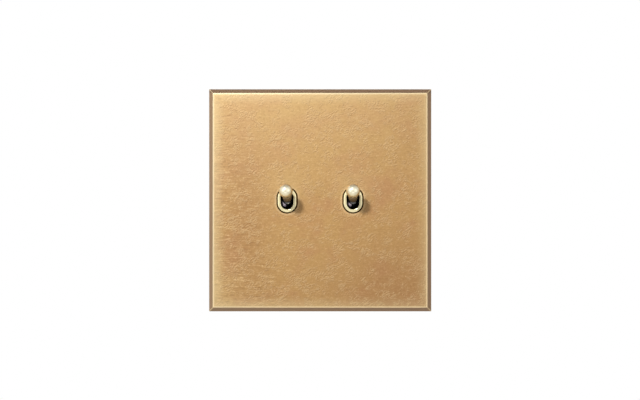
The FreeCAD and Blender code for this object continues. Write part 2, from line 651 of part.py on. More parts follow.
def snap_cups():
    """Split nylon cups in the yoke that grip the ball studs."""
    cups = []
    seat = YOKE_FRONT_Y
    throat_y = SNAP_BALL_Y - SNAP_BALL_R - SNAP_ROOM
    for x, z in snap_places():
        cup = rod(cup_barrel_r() + CUP_LIP, V(x, seat - CUP_LIP_THICK, z), AXIS_Y, CUP_LIP_THICK)
        cup = cup.fuse(rod(cup_barrel_r(), V(x, seat, z), AXIS_Y, CUP_END - seat))
        mouth = V(x, seat - CUP_LIP_THICK - 1, z)
        cup = cup.cut(rod(SNAP_BALL_R - 2 * SNAP_ROOM, mouth, AXIS_Y, CUP_END - seat + 2))
        cup = cup.cut(rod(SNAP_BALL_R + SNAP_ROOM, V(x, throat_y, z), AXIS_Y, CUP_END - throat_y + 1))
        reach = cup_barrel_r() + 1
        slit = CUP_SLIT / 2
        cup = cup.cut(box(x - reach, x + reach, SNAP_ROOM, CUP_END + 1, z - slit, z + slit))
        cup = cup.cut(box(x - slit, x + slit, SNAP_ROOM, CUP_END + 1, z - reach, z + reach))
        cups.append(cup.removeSplitter())
    return Part.Compound(cups)


def earth_middle():
    """Depth of the middle of the earth block."""
    return EARTH_START + EARTH_SIZE / 2


def earth_low():
    """Underside of the earth tab."""
    return EARTH_TAB_Z - YOKE_THICK


def earth_terminal():
    """Earth block staked to the tab, with its wire hole along X."""
    half = EARTH_SIZE / 2
    end = EARTH_START + EARTH_SIZE
    block = box(-half, half, EARTH_START, end, earth_low() - EARTH_HEIGHT, earth_low())
    boss = rod(EARTH_BOSS_R, V(0, earth_middle(), earth_low() - 1), AXIS_Z, YOKE_THICK + 1)
    middle_z = earth_low() - EARTH_HEIGHT / 2
    wire_y = end - SCREW_GRIP - WIRE_R
    block = block.fuse(boss)
    block = block.cut(rod(WIRE_R, V(-half - 1, wire_y, middle_z), AXIS_X, EARTH_SIZE + 2))
    return block.cut(rod(SCREW_R + SCREW_ROOM, V(0, wire_y, middle_z), AXIS_Y, SCREW_GRIP + WIRE_R + 1))


def earth_screw():
    """Clamp screw of the earth block."""
    return clamp_screw(0, EARTH_START + EARTH_SIZE, earth_low() - EARTH_HEIGHT / 2, SCREW_GRIP)


COMMON = {
    "front_plate": front_plate,
    "plate_studs": plate_studs,
    "snap_cups": snap_cups,
    "yoke": yoke,
    "box_screws": box_screws,
    "earth_terminal": earth_terminal,
    "earth_screw": earth_screw,
}

PER_GANG = {
    "bush": bush,
    "dolly": dolly,
    "dolly_carrier": dolly_carrier,
    "pivot_pin": pivot_pin,
    "plunger": plunger,
    "plunger_spring": plunger_spring,
    "rocker": rocker,
    "rocker_pin": rocker_pin,
    "rocker_contacts": rocker_contacts,
    "fixed_contacts": fixed_contacts,
    "upper_terminal": lambda: way_terminal(1),
    "lower_terminal": lambda: way_terminal(-1),
    "common_terminal": common_terminal,
    "terminal_screws": terminal_screws,
    "housing": housing,
    "housing_cover": housing_cover,
    "module_screws": module_screws,
}


def main():
    """Builds every piece and writes one STEP file for each."""
    os.makedirs(OUT, exist_ok=True)
    for name, make in COMMON.items():
        make().exportStep(f"{OUT}/{name}.step")
    for name, make in PER_GANG.items():
        piece = make()
        for side, x in GANGS.items():
            placed = piece.copy()
            placed.translate(V(x, 0, 0))
            placed.exportStep(f"{OUT}/{name}_{side}.step")


main()
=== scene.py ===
"""Looks of a two-gang brass dolly switch: aged plate, polished collars and dollies, and the works behind.

Every piece is in metres in the part's own frame: the wall is the plane y = 0, the room lies towards -Y, z is up.
"""
import json
import logging
import math
from dataclasses import dataclass, field
from enum import Enum
from functools import reduce
from typing import Iterable, NamedTuple, Optional, Sequence, Union

import bmesh
import bpy
import numpy as np
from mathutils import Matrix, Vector

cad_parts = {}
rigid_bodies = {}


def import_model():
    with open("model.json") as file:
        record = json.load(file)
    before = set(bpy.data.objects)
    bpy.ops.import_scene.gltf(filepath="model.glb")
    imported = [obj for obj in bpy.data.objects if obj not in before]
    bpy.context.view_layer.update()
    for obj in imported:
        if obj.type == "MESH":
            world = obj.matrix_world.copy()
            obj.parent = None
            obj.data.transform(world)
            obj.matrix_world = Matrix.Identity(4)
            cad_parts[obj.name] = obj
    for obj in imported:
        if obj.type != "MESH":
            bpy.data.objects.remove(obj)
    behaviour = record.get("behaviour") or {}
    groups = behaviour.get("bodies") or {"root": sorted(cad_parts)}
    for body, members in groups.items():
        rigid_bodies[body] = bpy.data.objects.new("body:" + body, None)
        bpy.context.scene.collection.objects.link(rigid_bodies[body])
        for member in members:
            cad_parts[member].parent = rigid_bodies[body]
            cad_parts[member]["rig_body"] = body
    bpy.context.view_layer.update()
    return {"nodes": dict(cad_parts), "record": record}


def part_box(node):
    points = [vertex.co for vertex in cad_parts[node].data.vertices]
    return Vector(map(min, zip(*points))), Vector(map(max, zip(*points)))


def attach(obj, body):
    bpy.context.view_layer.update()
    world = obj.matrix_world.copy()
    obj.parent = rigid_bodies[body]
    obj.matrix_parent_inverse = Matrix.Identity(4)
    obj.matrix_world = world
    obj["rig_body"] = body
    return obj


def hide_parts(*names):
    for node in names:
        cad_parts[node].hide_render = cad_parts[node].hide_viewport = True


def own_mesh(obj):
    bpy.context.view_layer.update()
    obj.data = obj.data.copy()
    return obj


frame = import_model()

Array = np.ndarray
Colour = tuple[float, float, float]
Range = tuple[float, float]
Ramp = tuple[float, float, float, float]
Socket = bpy.types.NodeSocket
Value = Union[float, Socket]

MM = 0.001
WELD = 1e-7
TINY = 1e-12
ACROSS = np.array([1.0, 0.0, 0.0])
WHITE = (1.0, 1.0, 1.0)
BLACK = (0.0, 0.0, 0.0)
LEVER_TILT = math.radians(16.0)
PIVOT = -1.2 * MM
BEVEL = 1.75 * MM
LOG = logging.getLogger("dolly_switch")


class Gang(Enum):
    """The two gangs of the switch, named as in the part's nodes."""

    LEFT = "left"
    RIGHT = "right"

    def node(self, piece: str) -> str:
        """Name of this gang's own node or piece."""
        return f"{piece}_{self.value}"

    def middle(self) -> float:
        """Middle of the gang's bush across the plate."""
        low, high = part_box(self.node("bush"))
        return (low.x + high.x) / 2

    def lever(self) -> tuple[Array, Array]:
        """Foot of the gang's lever at its pivot, and the direction in which the lever points at rest."""
        axis = np.array([0.0, -math.cos(LEVER_TILT), math.sin(LEVER_TILT)])
        return np.array([self.middle(), PIVOT, 0.0]), axis


class Drive(Enum):
    """Way that a screw is driven along Y."""

    INTO_WALL = 1.0
    INTO_ROOM = -1.0


class Corner(NamedTuple):
    """Corner of a profile: place, radius, worn edge and painted light, path's rounding, dirt and painted shade."""

    across: float
    along: float
    radius: float = 0.0
    wear_and_painted_light: float = 0.0
    plan: float = 0.0
    grime_and_shade: float = 0.0


class Profile(NamedTuple):
    """Open line of a section: across, along, worn edge and painted light, path's rounding, dirt and painted shade."""

    across: Array
    along: Array
    wear_and_painted_light: Array
    plan: Array
    grime_and_shade: Array


def rounded_profile(corners: Sequence[Corner], steps: int = 8) -> Profile:
    """Draws a polyline with each inner corner rounded by its radius.

    A corner's arc touches both of its sides: its centre lies on the bisector at radius / sin(half angle), and the arc
    turns evenly from one touching point to the other.

    Args:
        corners: The corners in order; the first and last stay points.
        steps: Spans of each arc.

    Returns:
        The line with its share of worn edge and painted light, highest in the middle of each arc, nought at its ends.
    """
    share = np.linspace(0.0, 1.0, steps + 1)
    spots, wears = [], []
    for k, corner in enumerate(corners):
        here = np.array(corner[:2])
        if corner.radius <= 0.0 or k in (0, len(corners) - 1):
            spots.append(here[None])
            wears.append(np.array([corner.wear_and_painted_light]))
            continue
        sides = np.array([corners[k - 1][:2], corners[k + 1][:2]]) - here
        sides /= np.linalg.norm(sides, axis=1, keepdims=True)
        half = math.acos(float(np.clip(sides[0] @ sides[1], -1.0, 1.0))) / 2
        bisector = sides.sum(axis=0) / np.linalg.norm(sides.sum(axis=0))
        centre = here + bisector * corner.radius / math.sin(half)
        ends = here + sides * corner.radius / math.tan(half) - centre
        turn = math.pi - 2 * half
        weights = np.stack([np.sin((1 - share) * turn), np.sin(share * turn)], axis=1) / math.sin(turn)
        spots.append(centre + weights @ ends)
        wears.append(corner.wear_and_painted_light * np.sin(share * math.pi))
    line = np.concatenate(spots)
    counts = [len(wear_and_painted_light) for wear_and_painted_light in wears]
    plan, grime_and_shade = (np.repeat([getattr(corner, key) for corner in corners], counts) for key in ("plan", "grime_and_shade"))
    return Profile(line[:, 0], line[:, 1], np.concatenate(wears), plan, grime_and_shade)


@dataclass
class Patch:
    """Point grid (rows, columns, 3) with worn-edge and painted-light, dirt and painted-shade, lathe-distance marks.
    """

    points: Array
    wear_and_painted_light: Optional[Array] = None
    grime_and_shade: Optional[Array] = None
    lathe: Optional[Array] = None
    wrap_rows: bool = False
    wrap_columns: bool = False

    def mark(self, name: str) -> Array:
        """One value a point of a named mark, nought where the patch has none."""
        values = getattr(self, name)
        return np.broadcast_to(0.0 if values is None else values, self.points.shape[:2]).ravel()

    def quads(self) -> Array:
        """Corner indices of the cells: a point, its neighbour in the row and the two below them in the next row.

        Returns:
            Indices of shape (cells, 4).
        """
        rows, columns = self.points.shape[:2]
        index = np.arange(rows * columns).reshape(rows, columns)
        if self.wrap_rows:
            index = np.vstack([index, index[:1]])
        if self.wrap_columns:
            index = np.hstack([index, index[:, :1]])
        cells = [index[:-1, :-1], index[:-1, 1:], index[1:, 1:], index[1:, :-1]]
        return np.stack(cells, axis=-1).reshape(-1, 4)


def weld(name: str, patches: Sequence[Patch], crease: float = 38.0) -> bpy.types.Object:
    """Joins patches into one mesh with its normals outwards.

    Args:
        name: Name of the piece.
        patches: Grids whose borders meet.
        crease: Angle in degrees above which an edge stays sharp.

    Returns:
        The piece, at the origin, with its place in its mesh.
    """
    counts = [patch.points.shape[0] * patch.points.shape[1] for patch in patches]
    starts = np.cumsum([0] + counts[:-1])
    mesh = bpy.data.meshes.new(name)
    faces = np.concatenate([patch.quads() + start for patch, start in zip(patches, starts)])
    mesh.from_pydata(np.concatenate([patch.points.reshape(-1, 3) for patch in patches]), [], faces)
    for mark in ("wear_and_painted_light", "grime_and_shade", "lathe"):
        layer = mesh.attributes.new(mark, "FLOAT", "POINT")
        layer.data.foreach_set("value", np.concatenate([patch.mark(mark) for patch in patches]).astype(np.float32))
    shell = bmesh.new()
    shell.from_mesh(mesh)
    bmesh.ops.remove_doubles(shell, verts=shell.verts, dist=WELD)
    bmesh.ops.dissolve_degenerate(shell, dist=WELD, edges=shell.edges)
    bmesh.ops.recalc_face_normals(shell, faces=shell.faces)
    shell.to_mesh(mesh)
    shell.free()
    mesh.polygons.foreach_set("use_smooth", np.ones(len(mesh.polygons), dtype=bool))
    mesh.set_sharp_from_angle(angle=math.radians(crease))
    piece = bpy.data.objects.new(name, mesh)
    bpy.context.scene.collection.objects.link(piece)
    return piece


def circle(sides: int) -> Array:
    """Unit directions that turn evenly round a circle, shape (sides, 2)."""
    turn = np.linspace(0.0, 2 * math.pi, sides, endpoint=False)
    return np.stack([np.cos(turn), np.sin(turn)], axis=1)


def rounded_square(path: Array, half: Array, radius: Array) -> Array:
    """Outline of a square with rounded corners.

    A point of the unit square is scaled to the half side, held within the half side less the radius, and then moved
    out by the radius towards where it was, so the sides stay straight and the corners turn round.

    Args:
        path: Points of the unit square, shape (n, 2).
        half: Half sides, shape (rows,).
        radius: Corner radii, shape (rows,).

    Returns:
        Points of shape (rows, n, 2).
    """
    half, radius = half[:, None, None], radius[:, None, None]
    spots = path * half
    core = np.clip(spots, radius - half, half - radius)
    away = spots - core
    size = np.maximum(np.linalg.norm(away, axis=2, keepdims=True), TINY)
    return np.where(radius > 0, core + radius * away / size, spots)


def upright(plan: Array, depth: Union[float, Array]) -> Array:
    """Lifts plan points (x, z) to space at a depth y, given once or for each row."""
    depth = np.broadcast_to(np.asarray(depth, float).reshape(-1, *[1] * (plan.ndim - 2)), plan.shape[:-1])
    return np.stack([plan[..., 0], depth, plan[..., 1]], axis=-1)


@dataclass(frozen=True)
class Oblong:
    """Upright oblong with round ends: the same straight length serves the slot, the collar and the plate's hole."""

    x: float
    straight: float
    samples: int = 56

    def loops(self, radii: Array) -> Array:
        """Outlines at several radii: each end's centre plus the radius times a direction that turns half round it.

        Args:
            radii: Half widths of the outlines, shape (rows,).

        Returns:
            Plan points of shape (rows, n, 2).
        """
        turn = np.linspace(0.0, math.pi, self.samples)
        turn = np.concatenate([turn, turn + math.pi])
        end = np.repeat([1.0, -1.0], self.samples)
        centre = np.stack([np.full_like(end, self.x), end * self.straight], axis=1)
        return centre + radii[:, None, None] * np.stack([np.cos(turn), np.sin(turn)], axis=1)

    def toward(self, targets: Array, radius: float) -> tuple[Array, Array]:
        """Where rays from the centre to some targets cross the outline, with its outward direction there.

        A ray meets a straight side where its x equals the radius, if that lies between the ends; otherwise it meets
        the round end at straight * |s| + sqrt(radius^2 - straight^2 c^2) for a direction (c, s).

        Args:
            targets: Plan points, shape (n, 2).
            radius: Half width of the outline.

        Returns:
            Plan points and directions, each of shape (n, 2).
        """
        ray = targets - [self.x, 0.0]
        ray = ray / np.linalg.norm(ray, axis=1, keepdims=True)
        c, s = ray.T
        to_side = radius / np.maximum(np.abs(c), TINY)
        to_end = self.straight * np.abs(s) + np.sqrt(radius ** 2 - (self.straight * c) ** 2)
        on_side = to_side * np.abs(s) <= self.straight
        spot = ray * np.where(on_side, to_side, to_end)[:, None]
        end_centre = np.stack([np.zeros_like(s), np.sign(s) * self.straight], axis=1)
        outward = np.where(on_side[:, None], np.stack([np.sign(c), 0 * c], axis=1), (spot - end_centre) / radius)
        return spot + [self.x, 0.0], outward


class Grain(NamedTuple):
    """Noise over object coordinates: features a metre, octaves, strength of each finer octave, and distortion."""

    scale: Union[float, tuple[float, float, float]]
    detail: float = 3.0
    rough: float = 0.5
    twist: float = 0.0


@dataclass
class Desk:
    """Lays out the nodes of one tree."""

    tree: bpy.types.NodeTree

    def feed(self, socket: Socket, value: object) -> None:
        """Links a socket, or sets it where the value is plain.

        Args:
            socket: Input of a node.
            value: Output of a node, number, vector or colour.
        """
        if isinstance(value, bpy.types.NodeSocket):
            self.tree.links.new(value, socket)
        else:
            socket.default_value = (*value, 1.0) if socket.type == "RGBA" else value

    def node(self, kind: str, sockets: Optional[dict] = None, **settings: object) -> bpy.types.Node:
        """Adds a node, sets its properties and feeds its sockets.

        Args:
            kind: Blender's name of the node's type.
            sockets: Values by the names or numbers of the inputs.
            settings: Properties of the node.

        Returns:
            The node.
        """
        made = self.tree.nodes.new(kind)
        for key, value in settings.items():
            setattr(made, key, value)
        for key, value in (sockets or {}).items():
            self.feed(made.inputs[key], value)
        return made

    def split(self, vector: Socket) -> Sequence[Socket]:
        """The three coordinates of a vector."""
        return self.node("ShaderNodeSeparateXYZ", {"Vector": vector}).outputs

    def sum(self, operation: str, *terms: Value, hold: bool = False) -> Socket:
        """Result of one sum, named as Blender's maths node names it, held between nought and one if asked."""
        return self.node("ShaderNodeMath", dict(enumerate(terms)), operation=operation, use_clamp=hold).outputs[0]

    def square_sum(self, first: Value, second: Value) -> Socket:
        """Sum of two squares."""
        return self.sum("MULTIPLY_ADD", first, first, self.sum("MULTIPLY", second, second))

    def between(self, share: Value, first: Value, second: Value) -> Socket:
        """Value at a share of the way from a first to a second."""
        return self.sum("MULTIPLY_ADD", share, self.sum("SUBTRACT", second, first), first)


class Bench(Desk):
    """Lays out one procedural material round its principled shader."""

    def __init__(self, name: str) -> None:
        """Starts a material.

        Args:
            name: Name of the material.
        """
        self.material = bpy.data.materials.new(name)
        self.material.use_nodes = True
        super().__init__(self.material.node_tree)
        self.shader = self.tree.nodes["Principled BSDF"]
        self.coords = self.node("ShaderNodeTexCoord").outputs["Object"]
        self.x, self.y, self.z = self.split(self.coords)
        self.noises: dict[tuple, Socket] = {}

    def set(self, **sockets: object) -> None:
        """Sets or links sockets of the shader, named with underscores for spaces."""
        for key, value in sockets.items():
            self.feed(self.shader.inputs[key.replace("_", " ")], value)

    def mark(self, name: str) -> Socket:
        """Value that the piece's mesh carries under a name."""
        return self.node("ShaderNodeAttribute", attribute_name=name).outputs["Fac"]

    def noise(self, grain: Grain, shift: float = 0.0, turn: float = 0.0) -> Socket:
        """Noise over object coordinates, made once for the same wishes.

        Args:
            grain: Its scale and octaves.
            shift: Shift along Z in features.
            turn: Turn of the pattern about Y in degrees.

        Returns:
            Value about 0.5.
        """
        wish = (grain, shift, turn)
        if wish not in self.noises:
            scale = grain.scale if isinstance(grain.scale, tuple) else (grain.scale,) * 3
            turned = {"Vector": self.coords, "Rotation": (0.0, math.radians(turn), 0.0)}
            vector = self.node("ShaderNodeMapping", turned).outputs["Vector"]
            placed = {"Vector": vector, "Scale": scale, "Location": (0.0, 0.0, shift)}
            vector = self.node("ShaderNodeMapping", placed).outputs["Vector"]
            octaves = {"Detail": grain.detail, "Roughness": grain.rough, "Distortion": grain.twist}
            made = self.node("ShaderNodeTexNoise", {"Vector": vector, "Scale": 1.0, **octaves})
            self.noises[wish] = made.outputs["Fac"]
        return self.noises[wish]

    def remap(self, value: Socket, low: float, high: float, to_low: float = 0.0, to_high: float = 1.0) -> Socket:
        """Carries a value smoothly from the range of low to high to another."""
        terms = dict(enumerate((value, low, high, to_low, to_high)))
        return self.node("ShaderNodeMapRange", terms, interpolation_type="SMOOTHSTEP").outputs["Result"]

    def blend(self, share: Value, first: object, second: object) -> Socket:
        """Mixes two colours by the share of the second."""
        colours = {0: share, 6: first, 7: second}
        return self.node("ShaderNodeMix", colours, data_type="RGBA", clamp_factor=True).outputs[2]

    def coats(self, colour: object, *coats: tuple[Value, object]) -> Socket:
        """Lays coats over a colour one after the other, each a share and a colour."""
        return reduce(lambda below, coat: self.blend(coat[0], below, coat[1]), coats, colour)

    def bump(self, height: Socket, depth: float, before: Optional[Socket] = None, strength: Value = 1.0) -> Socket:
        """Normal of a height value's relief, in metres between nought and one, on that of a coarser relief."""
        sockets = {"Distance": depth, "Height": height, "Strength": strength}
        return self.node("ShaderNodeBump", sockets | ({"Normal": before} if before else {})).outputs["Normal"]

    def shine(self, grime_and_shade: Socket) -> Socket:
        """Specular level, which dirt and painted shade take away."""
        return self.sum("MULTIPLY_ADD", grime_and_shade, -0.5, 0.5)


class SoftSpot(NamedTuple):
    """Soft spot on the plate's face: its middle, its reach across and up, all in millimetres, and its share."""

    x: float
    z: float
    width: float
    height: float
    share: float


@dataclass(frozen=True)
class AgedBrass:
    """Plate brass aged to orange: wavy creases, brush marks, warm patches, pale rim, worn edges, painted light and
    shade.
    """

    slot: str = "aged_brass"
    ochre: Colour = (0.505, 0.292, 0.098)
    amber: Colour = (0.485, 0.254, 0.098)
    dark: Colour = (0.30, 0.150, 0.050)
    pale: Colour = (0.76, 0.53, 0.26)
    pale_tone_and_top_light: Colour = (0.80, 0.60, 0.29)
    rim_patina_and_light: Colour = (0.91, 0.77, 0.44)
    painted_shade_brown: Colour = (0.325, 0.190, 0.108)
    rubbed: Colour = (0.80, 0.655, 0.40)
    arris_highlight_gold: Colour = (0.99, 0.75, 0.42)
    shaded: Colour = (0.20, 0.115, 0.068)
    warm_dark: Colour = (0.345, 0.158, 0.058)
    grime_and_shade: Colour = (0.012, 0.008, 0.005)
    metallic: float = 0.3
    roughness: float = 0.52
    half_side: float = 43 * MM
    rim_band_width: float = 5 * MM
    right_rim_band_width: float = 2.6 * MM
    pale_line: Range = (-0.78 * MM, -0.35 * MM)
    bevel_shade_edge: Range = (-0.1 * MM, 0.35 * MM)
    # leans of the brush marks, of the painted top light and of the rim's painted light
    lean: tuple[float, float, float] = (0.3, -0.2, 0.3)
    brush_ramp: Ramp = (-0.012, -0.042, 0.5, 1.6)
    top_light_ramp: Ramp = (-0.01, 0.06, 0.0, 0.27)
    rim_light_lean_ramp: Ramp = (-0.03, 0.045, 0.3, 0.52)
    arris_light_ramp: Range = (-0.03, 0.03)
    amber_ramp: Range = (0.42, 0.72)
    dark_ramp: Ramp = (0.5, 0.28, 0.0, 0.75)
    pale_ramp: Ramp = (0.5, 0.72, 0.0, 0.7)
    rough_ramp: Ramp = (0.3, 0.7, -0.05, 0.05)
    worn_ramp: Ramp = (0.0, 0.6, 1.0, 0.0)
    band_share: float = 0.5
    right_share: float = 0.25
    bevel_shade_share: float = 0.85
    shade_share: float = 0.6
    rubbed_gloss: float = -0.1
    brush: Grain = Grain((330.0, 900.0, 2600.0), 3.0, 0.6)
    peel: Grain = Grain((1150.0, 1150.0, 1500.0), 3.0, 0.6, 0.8)
    patches: Grain = Grain((60.0, 60.0, 75.0), 3.0, 0.55, 0.5)
    folds: Grain = Grain((450.0, 700.0, 1000.0), 1.0, 0.5, 1.1)
    fold_turn: float = 32.0
    fold_width: float = 0.1
    fold_shift: float = 0.15
    fold_shares: Range = (0.58, 0.4)
    breaks: Grain = Grain(300.0, 2.0)
    break_ramp: Range = (0.42, 0.6)
    fold_depth: float = 1.2e-5
    brush_depth: float = 6e-6
    soft_spots: tuple[SoftSpot, ...] = (
        SoftSpot(-28.5, -3.0, 9.0, 36.0, 0.42),
        SoftSpot(33.0, -34.0, 24.0, 24.0, 0.44),
        SoftSpot(38.0, 34.0, 14.0, 22.0, 0.24),
        SoftSpot(-22.0, -34.0, 26.0, 9.0, 0.05),
        SoftSpot(14.0, -37.0, 32.0, 10.0, 0.17),
    )
    pale_spots: tuple[SoftSpot, ...] = (
        SoftSpot(-12.7, 5.0, 7.0, 6.0, 0.2),
        SoftSpot(12.7, 5.0, 7.0, 6.0, 0.2),
        SoftSpot(-40.0, -36.0, 8.0, 14.0, 0.2),
    )

    def spot_share(self, bench: Bench, soft_spots: Sequence[SoftSpot]) -> Socket:
        """Share of a spot's colour: each falls off as e to the minus square of the distance in its own widths.

        Args:
            bench: Bench of the material.
            soft_spots: The spots.

        Returns:
            Their sum.
        """
        share: Value = 0.0
        for stain in soft_spots:
            across = bench.sum("DIVIDE", bench.sum("SUBTRACT", bench.x, stain.x * MM), stain.width * MM)
            up = bench.sum("DIVIDE", bench.sum("SUBTRACT", bench.z, stain.z * MM), stain.height * MM)
            fall = bench.sum("POWER", math.exp(-1.0), bench.square_sum(across, up))
            share = bench.sum("MULTIPLY_ADD", fall, stain.share, share)
        return share

    def brushing(self, bench: Bench) -> Socket:
        """Short brush marks along X, as a value about 0.5, that are stronger to the lower left."""
        strength = bench.remap(bench.sum("MULTIPLY_ADD", bench.z, self.lean[0], bench.x), *self.brush_ramp)
        return bench.sum("MULTIPLY_ADD", bench.sum("SUBTRACT", bench.noise(self.brush), 0.5), strength, 0.5)

    def creases(self, bench: Bench, shift: float = 0.0, share: float = 1.0) -> Socket:
        """Short wavy creases: the contour at the middle of a twisted noise, broken up by a second noise.

        Args:
            bench: Bench of the material.
            shift: Shift across the creases, towards the lower right.
            share: Value on a crease.

        Returns:
            The share on a crease, nought off it.
        """
        folds = bench.sum("SUBTRACT", bench.noise(self.folds, shift, self.fold_turn), 0.5)
        line = bench.remap(bench.sum("ABSOLUTE", folds), 0.0, self.fold_width, share, 0.0)
        return bench.sum("MULTIPLY", line, bench.remap(bench.noise(self.breaks), *self.break_ramp))

    def edges(self, bench: Bench) -> tuple[Socket, Socket, Socket, Socket]:
        """Shares of painted top light, pale rim with painted light, painted bevel shade and painted top bevel shade.

        The painted top light leans over the face towards the top. The rim band is patina along the rim with a worn
        pale line just inside the arris, painted lighter towards the left. Painted brown shade covers the bevels, and
        more painted shade the upper one.

        Args:
            bench: Bench of the material.

        Returns:
            The four shares.
        """
        shoulder = self.half_side - BEVEL
        rim = bench.sum("MAXIMUM", bench.sum("ABSOLUTE", bench.x), bench.sum("ABSOLUTE", bench.z))
        top_light = bench.remap(bench.sum("MULTIPLY_ADD", bench.x, self.lean[1], bench.z), *self.top_light_ramp)
        band = bench.remap(rim, shoulder - self.rim_band_width, shoulder, 0.0, self.band_share)
        line = bench.remap(rim, *(shoulder + step for step in self.pale_line))
        # painted light: the rim band is painted paler towards the upper left
        left = bench.sum("SUBTRACT", bench.sum("MULTIPLY", bench.z, self.lean[2]), bench.x)
        left = bench.remap(left, *self.rim_light_lean_ramp)
        right = bench.remap(bench.x, shoulder - self.right_rim_band_width, shoulder, 0.0, self.right_share)
        rim_patina_and_light = bench.sum("MAXIMUM", bench.sum("MULTIPLY", bench.sum("MAXIMUM", band, line), left), right)
        # painted shade: the bevels are painted dark brown, and the upper one darker still
        brown = bench.remap(rim, *(shoulder + step for step in self.bevel_shade_edge), 0.0, self.bevel_shade_share)
        shade = bench.remap(bench.z, shoulder, shoulder + 0.2 * BEVEL, 0.0, self.shade_share)
        return top_light, rim_patina_and_light, brown, shade

    def material(self) -> bpy.types.Material:
        """Builds the finish: colours coat by coat, rougher where it is brushed, smooth where it is rubbed.

        Returns:
            The material.
        """
        bench = Bench(self.slot)
        brush, peel = self.brushing(bench), bench.noise(self.peel)
        wear_and_painted_light, grime_and_shade = bench.mark("wear_and_painted_light"), bench.mark("grime_and_shade")
        top_light, rim_patina_and_light, brown, shade = self.edges(bench)
        speck = bench.sum("MULTIPLY_ADD", peel, 0.5, bench.sum("MULTIPLY", brush, 0.5))
        # painted highlight: the worn arrises turn brighter gold towards the lower right
        golden = bench.remap(bench.sum("SUBTRACT", bench.x, bench.z), *self.arris_light_ramp)
        colour = bench.coats(
            self.ochre,
            (bench.remap(bench.noise(self.patches), *self.amber_ramp), self.amber),
            # darker warm spots, most of them low on the face and to the lower right
            (self.spot_share(bench, self.soft_spots), self.warm_dark),
            # paler spots above each collar and in the lower left corner
            (self.spot_share(bench, self.pale_spots), self.pale_tone_and_top_light),
            # painted light: the face is painted paler towards the top
            (top_light, self.pale_tone_and_top_light),
            (bench.remap(speck, *self.dark_ramp), self.dark),
            (bench.remap(speck, *self.pale_ramp), self.pale),
            # painted shade and painted light: each crease is painted dark on its lower right flank and pale on its
            # upper left
            (self.creases(bench, self.fold_shift, self.fold_shares[0]), self.dark),
            (self.creases(bench, -self.fold_shift, self.fold_shares[1]), self.pale),
            # pale rim band: patina and a worn line inside the arris, with painted light towards the upper left
            (rim_patina_and_light, self.rim_patina_and_light),
            # painted shade: the bevels are painted dark brown
            (brown, self.painted_shade_brown),
            # painted shade: the upper bevel is painted darker
            (shade, self.shaded),
            # worn arrises, painted brighter gold towards the lower right as a painted highlight
            (wear_and_painted_light, bench.blend(golden, self.rubbed, self.arris_highlight_gold)),
            # dirt and painted shade in the joint round each ring
            (grime_and_shade, self.grime_and_shade),
        )
        unworn = bench.remap(wear_and_painted_light, *self.worn_ramp)
        rough = bench.sum("MULTIPLY_ADD", bench.remap(brush, *self.rough_ramp), unworn, self.roughness)
        rough = bench.sum("MULTIPLY_ADD", wear_and_painted_light, self.rubbed_gloss, rough)
        normal = bench.bump(self.creases(bench), self.fold_depth, strength=unworn)
        normal = bench.bump(bench.sum("MULTIPLY_ADD", brush, 0.5, peel), self.brush_depth, normal, unworn)
        bench.set(Base_Color=colour, Metallic=self.metallic, Roughness=rough, Specular_IOR_Level=bench.shine(grime_and_shade),
                  Normal=normal)
        return bench.material


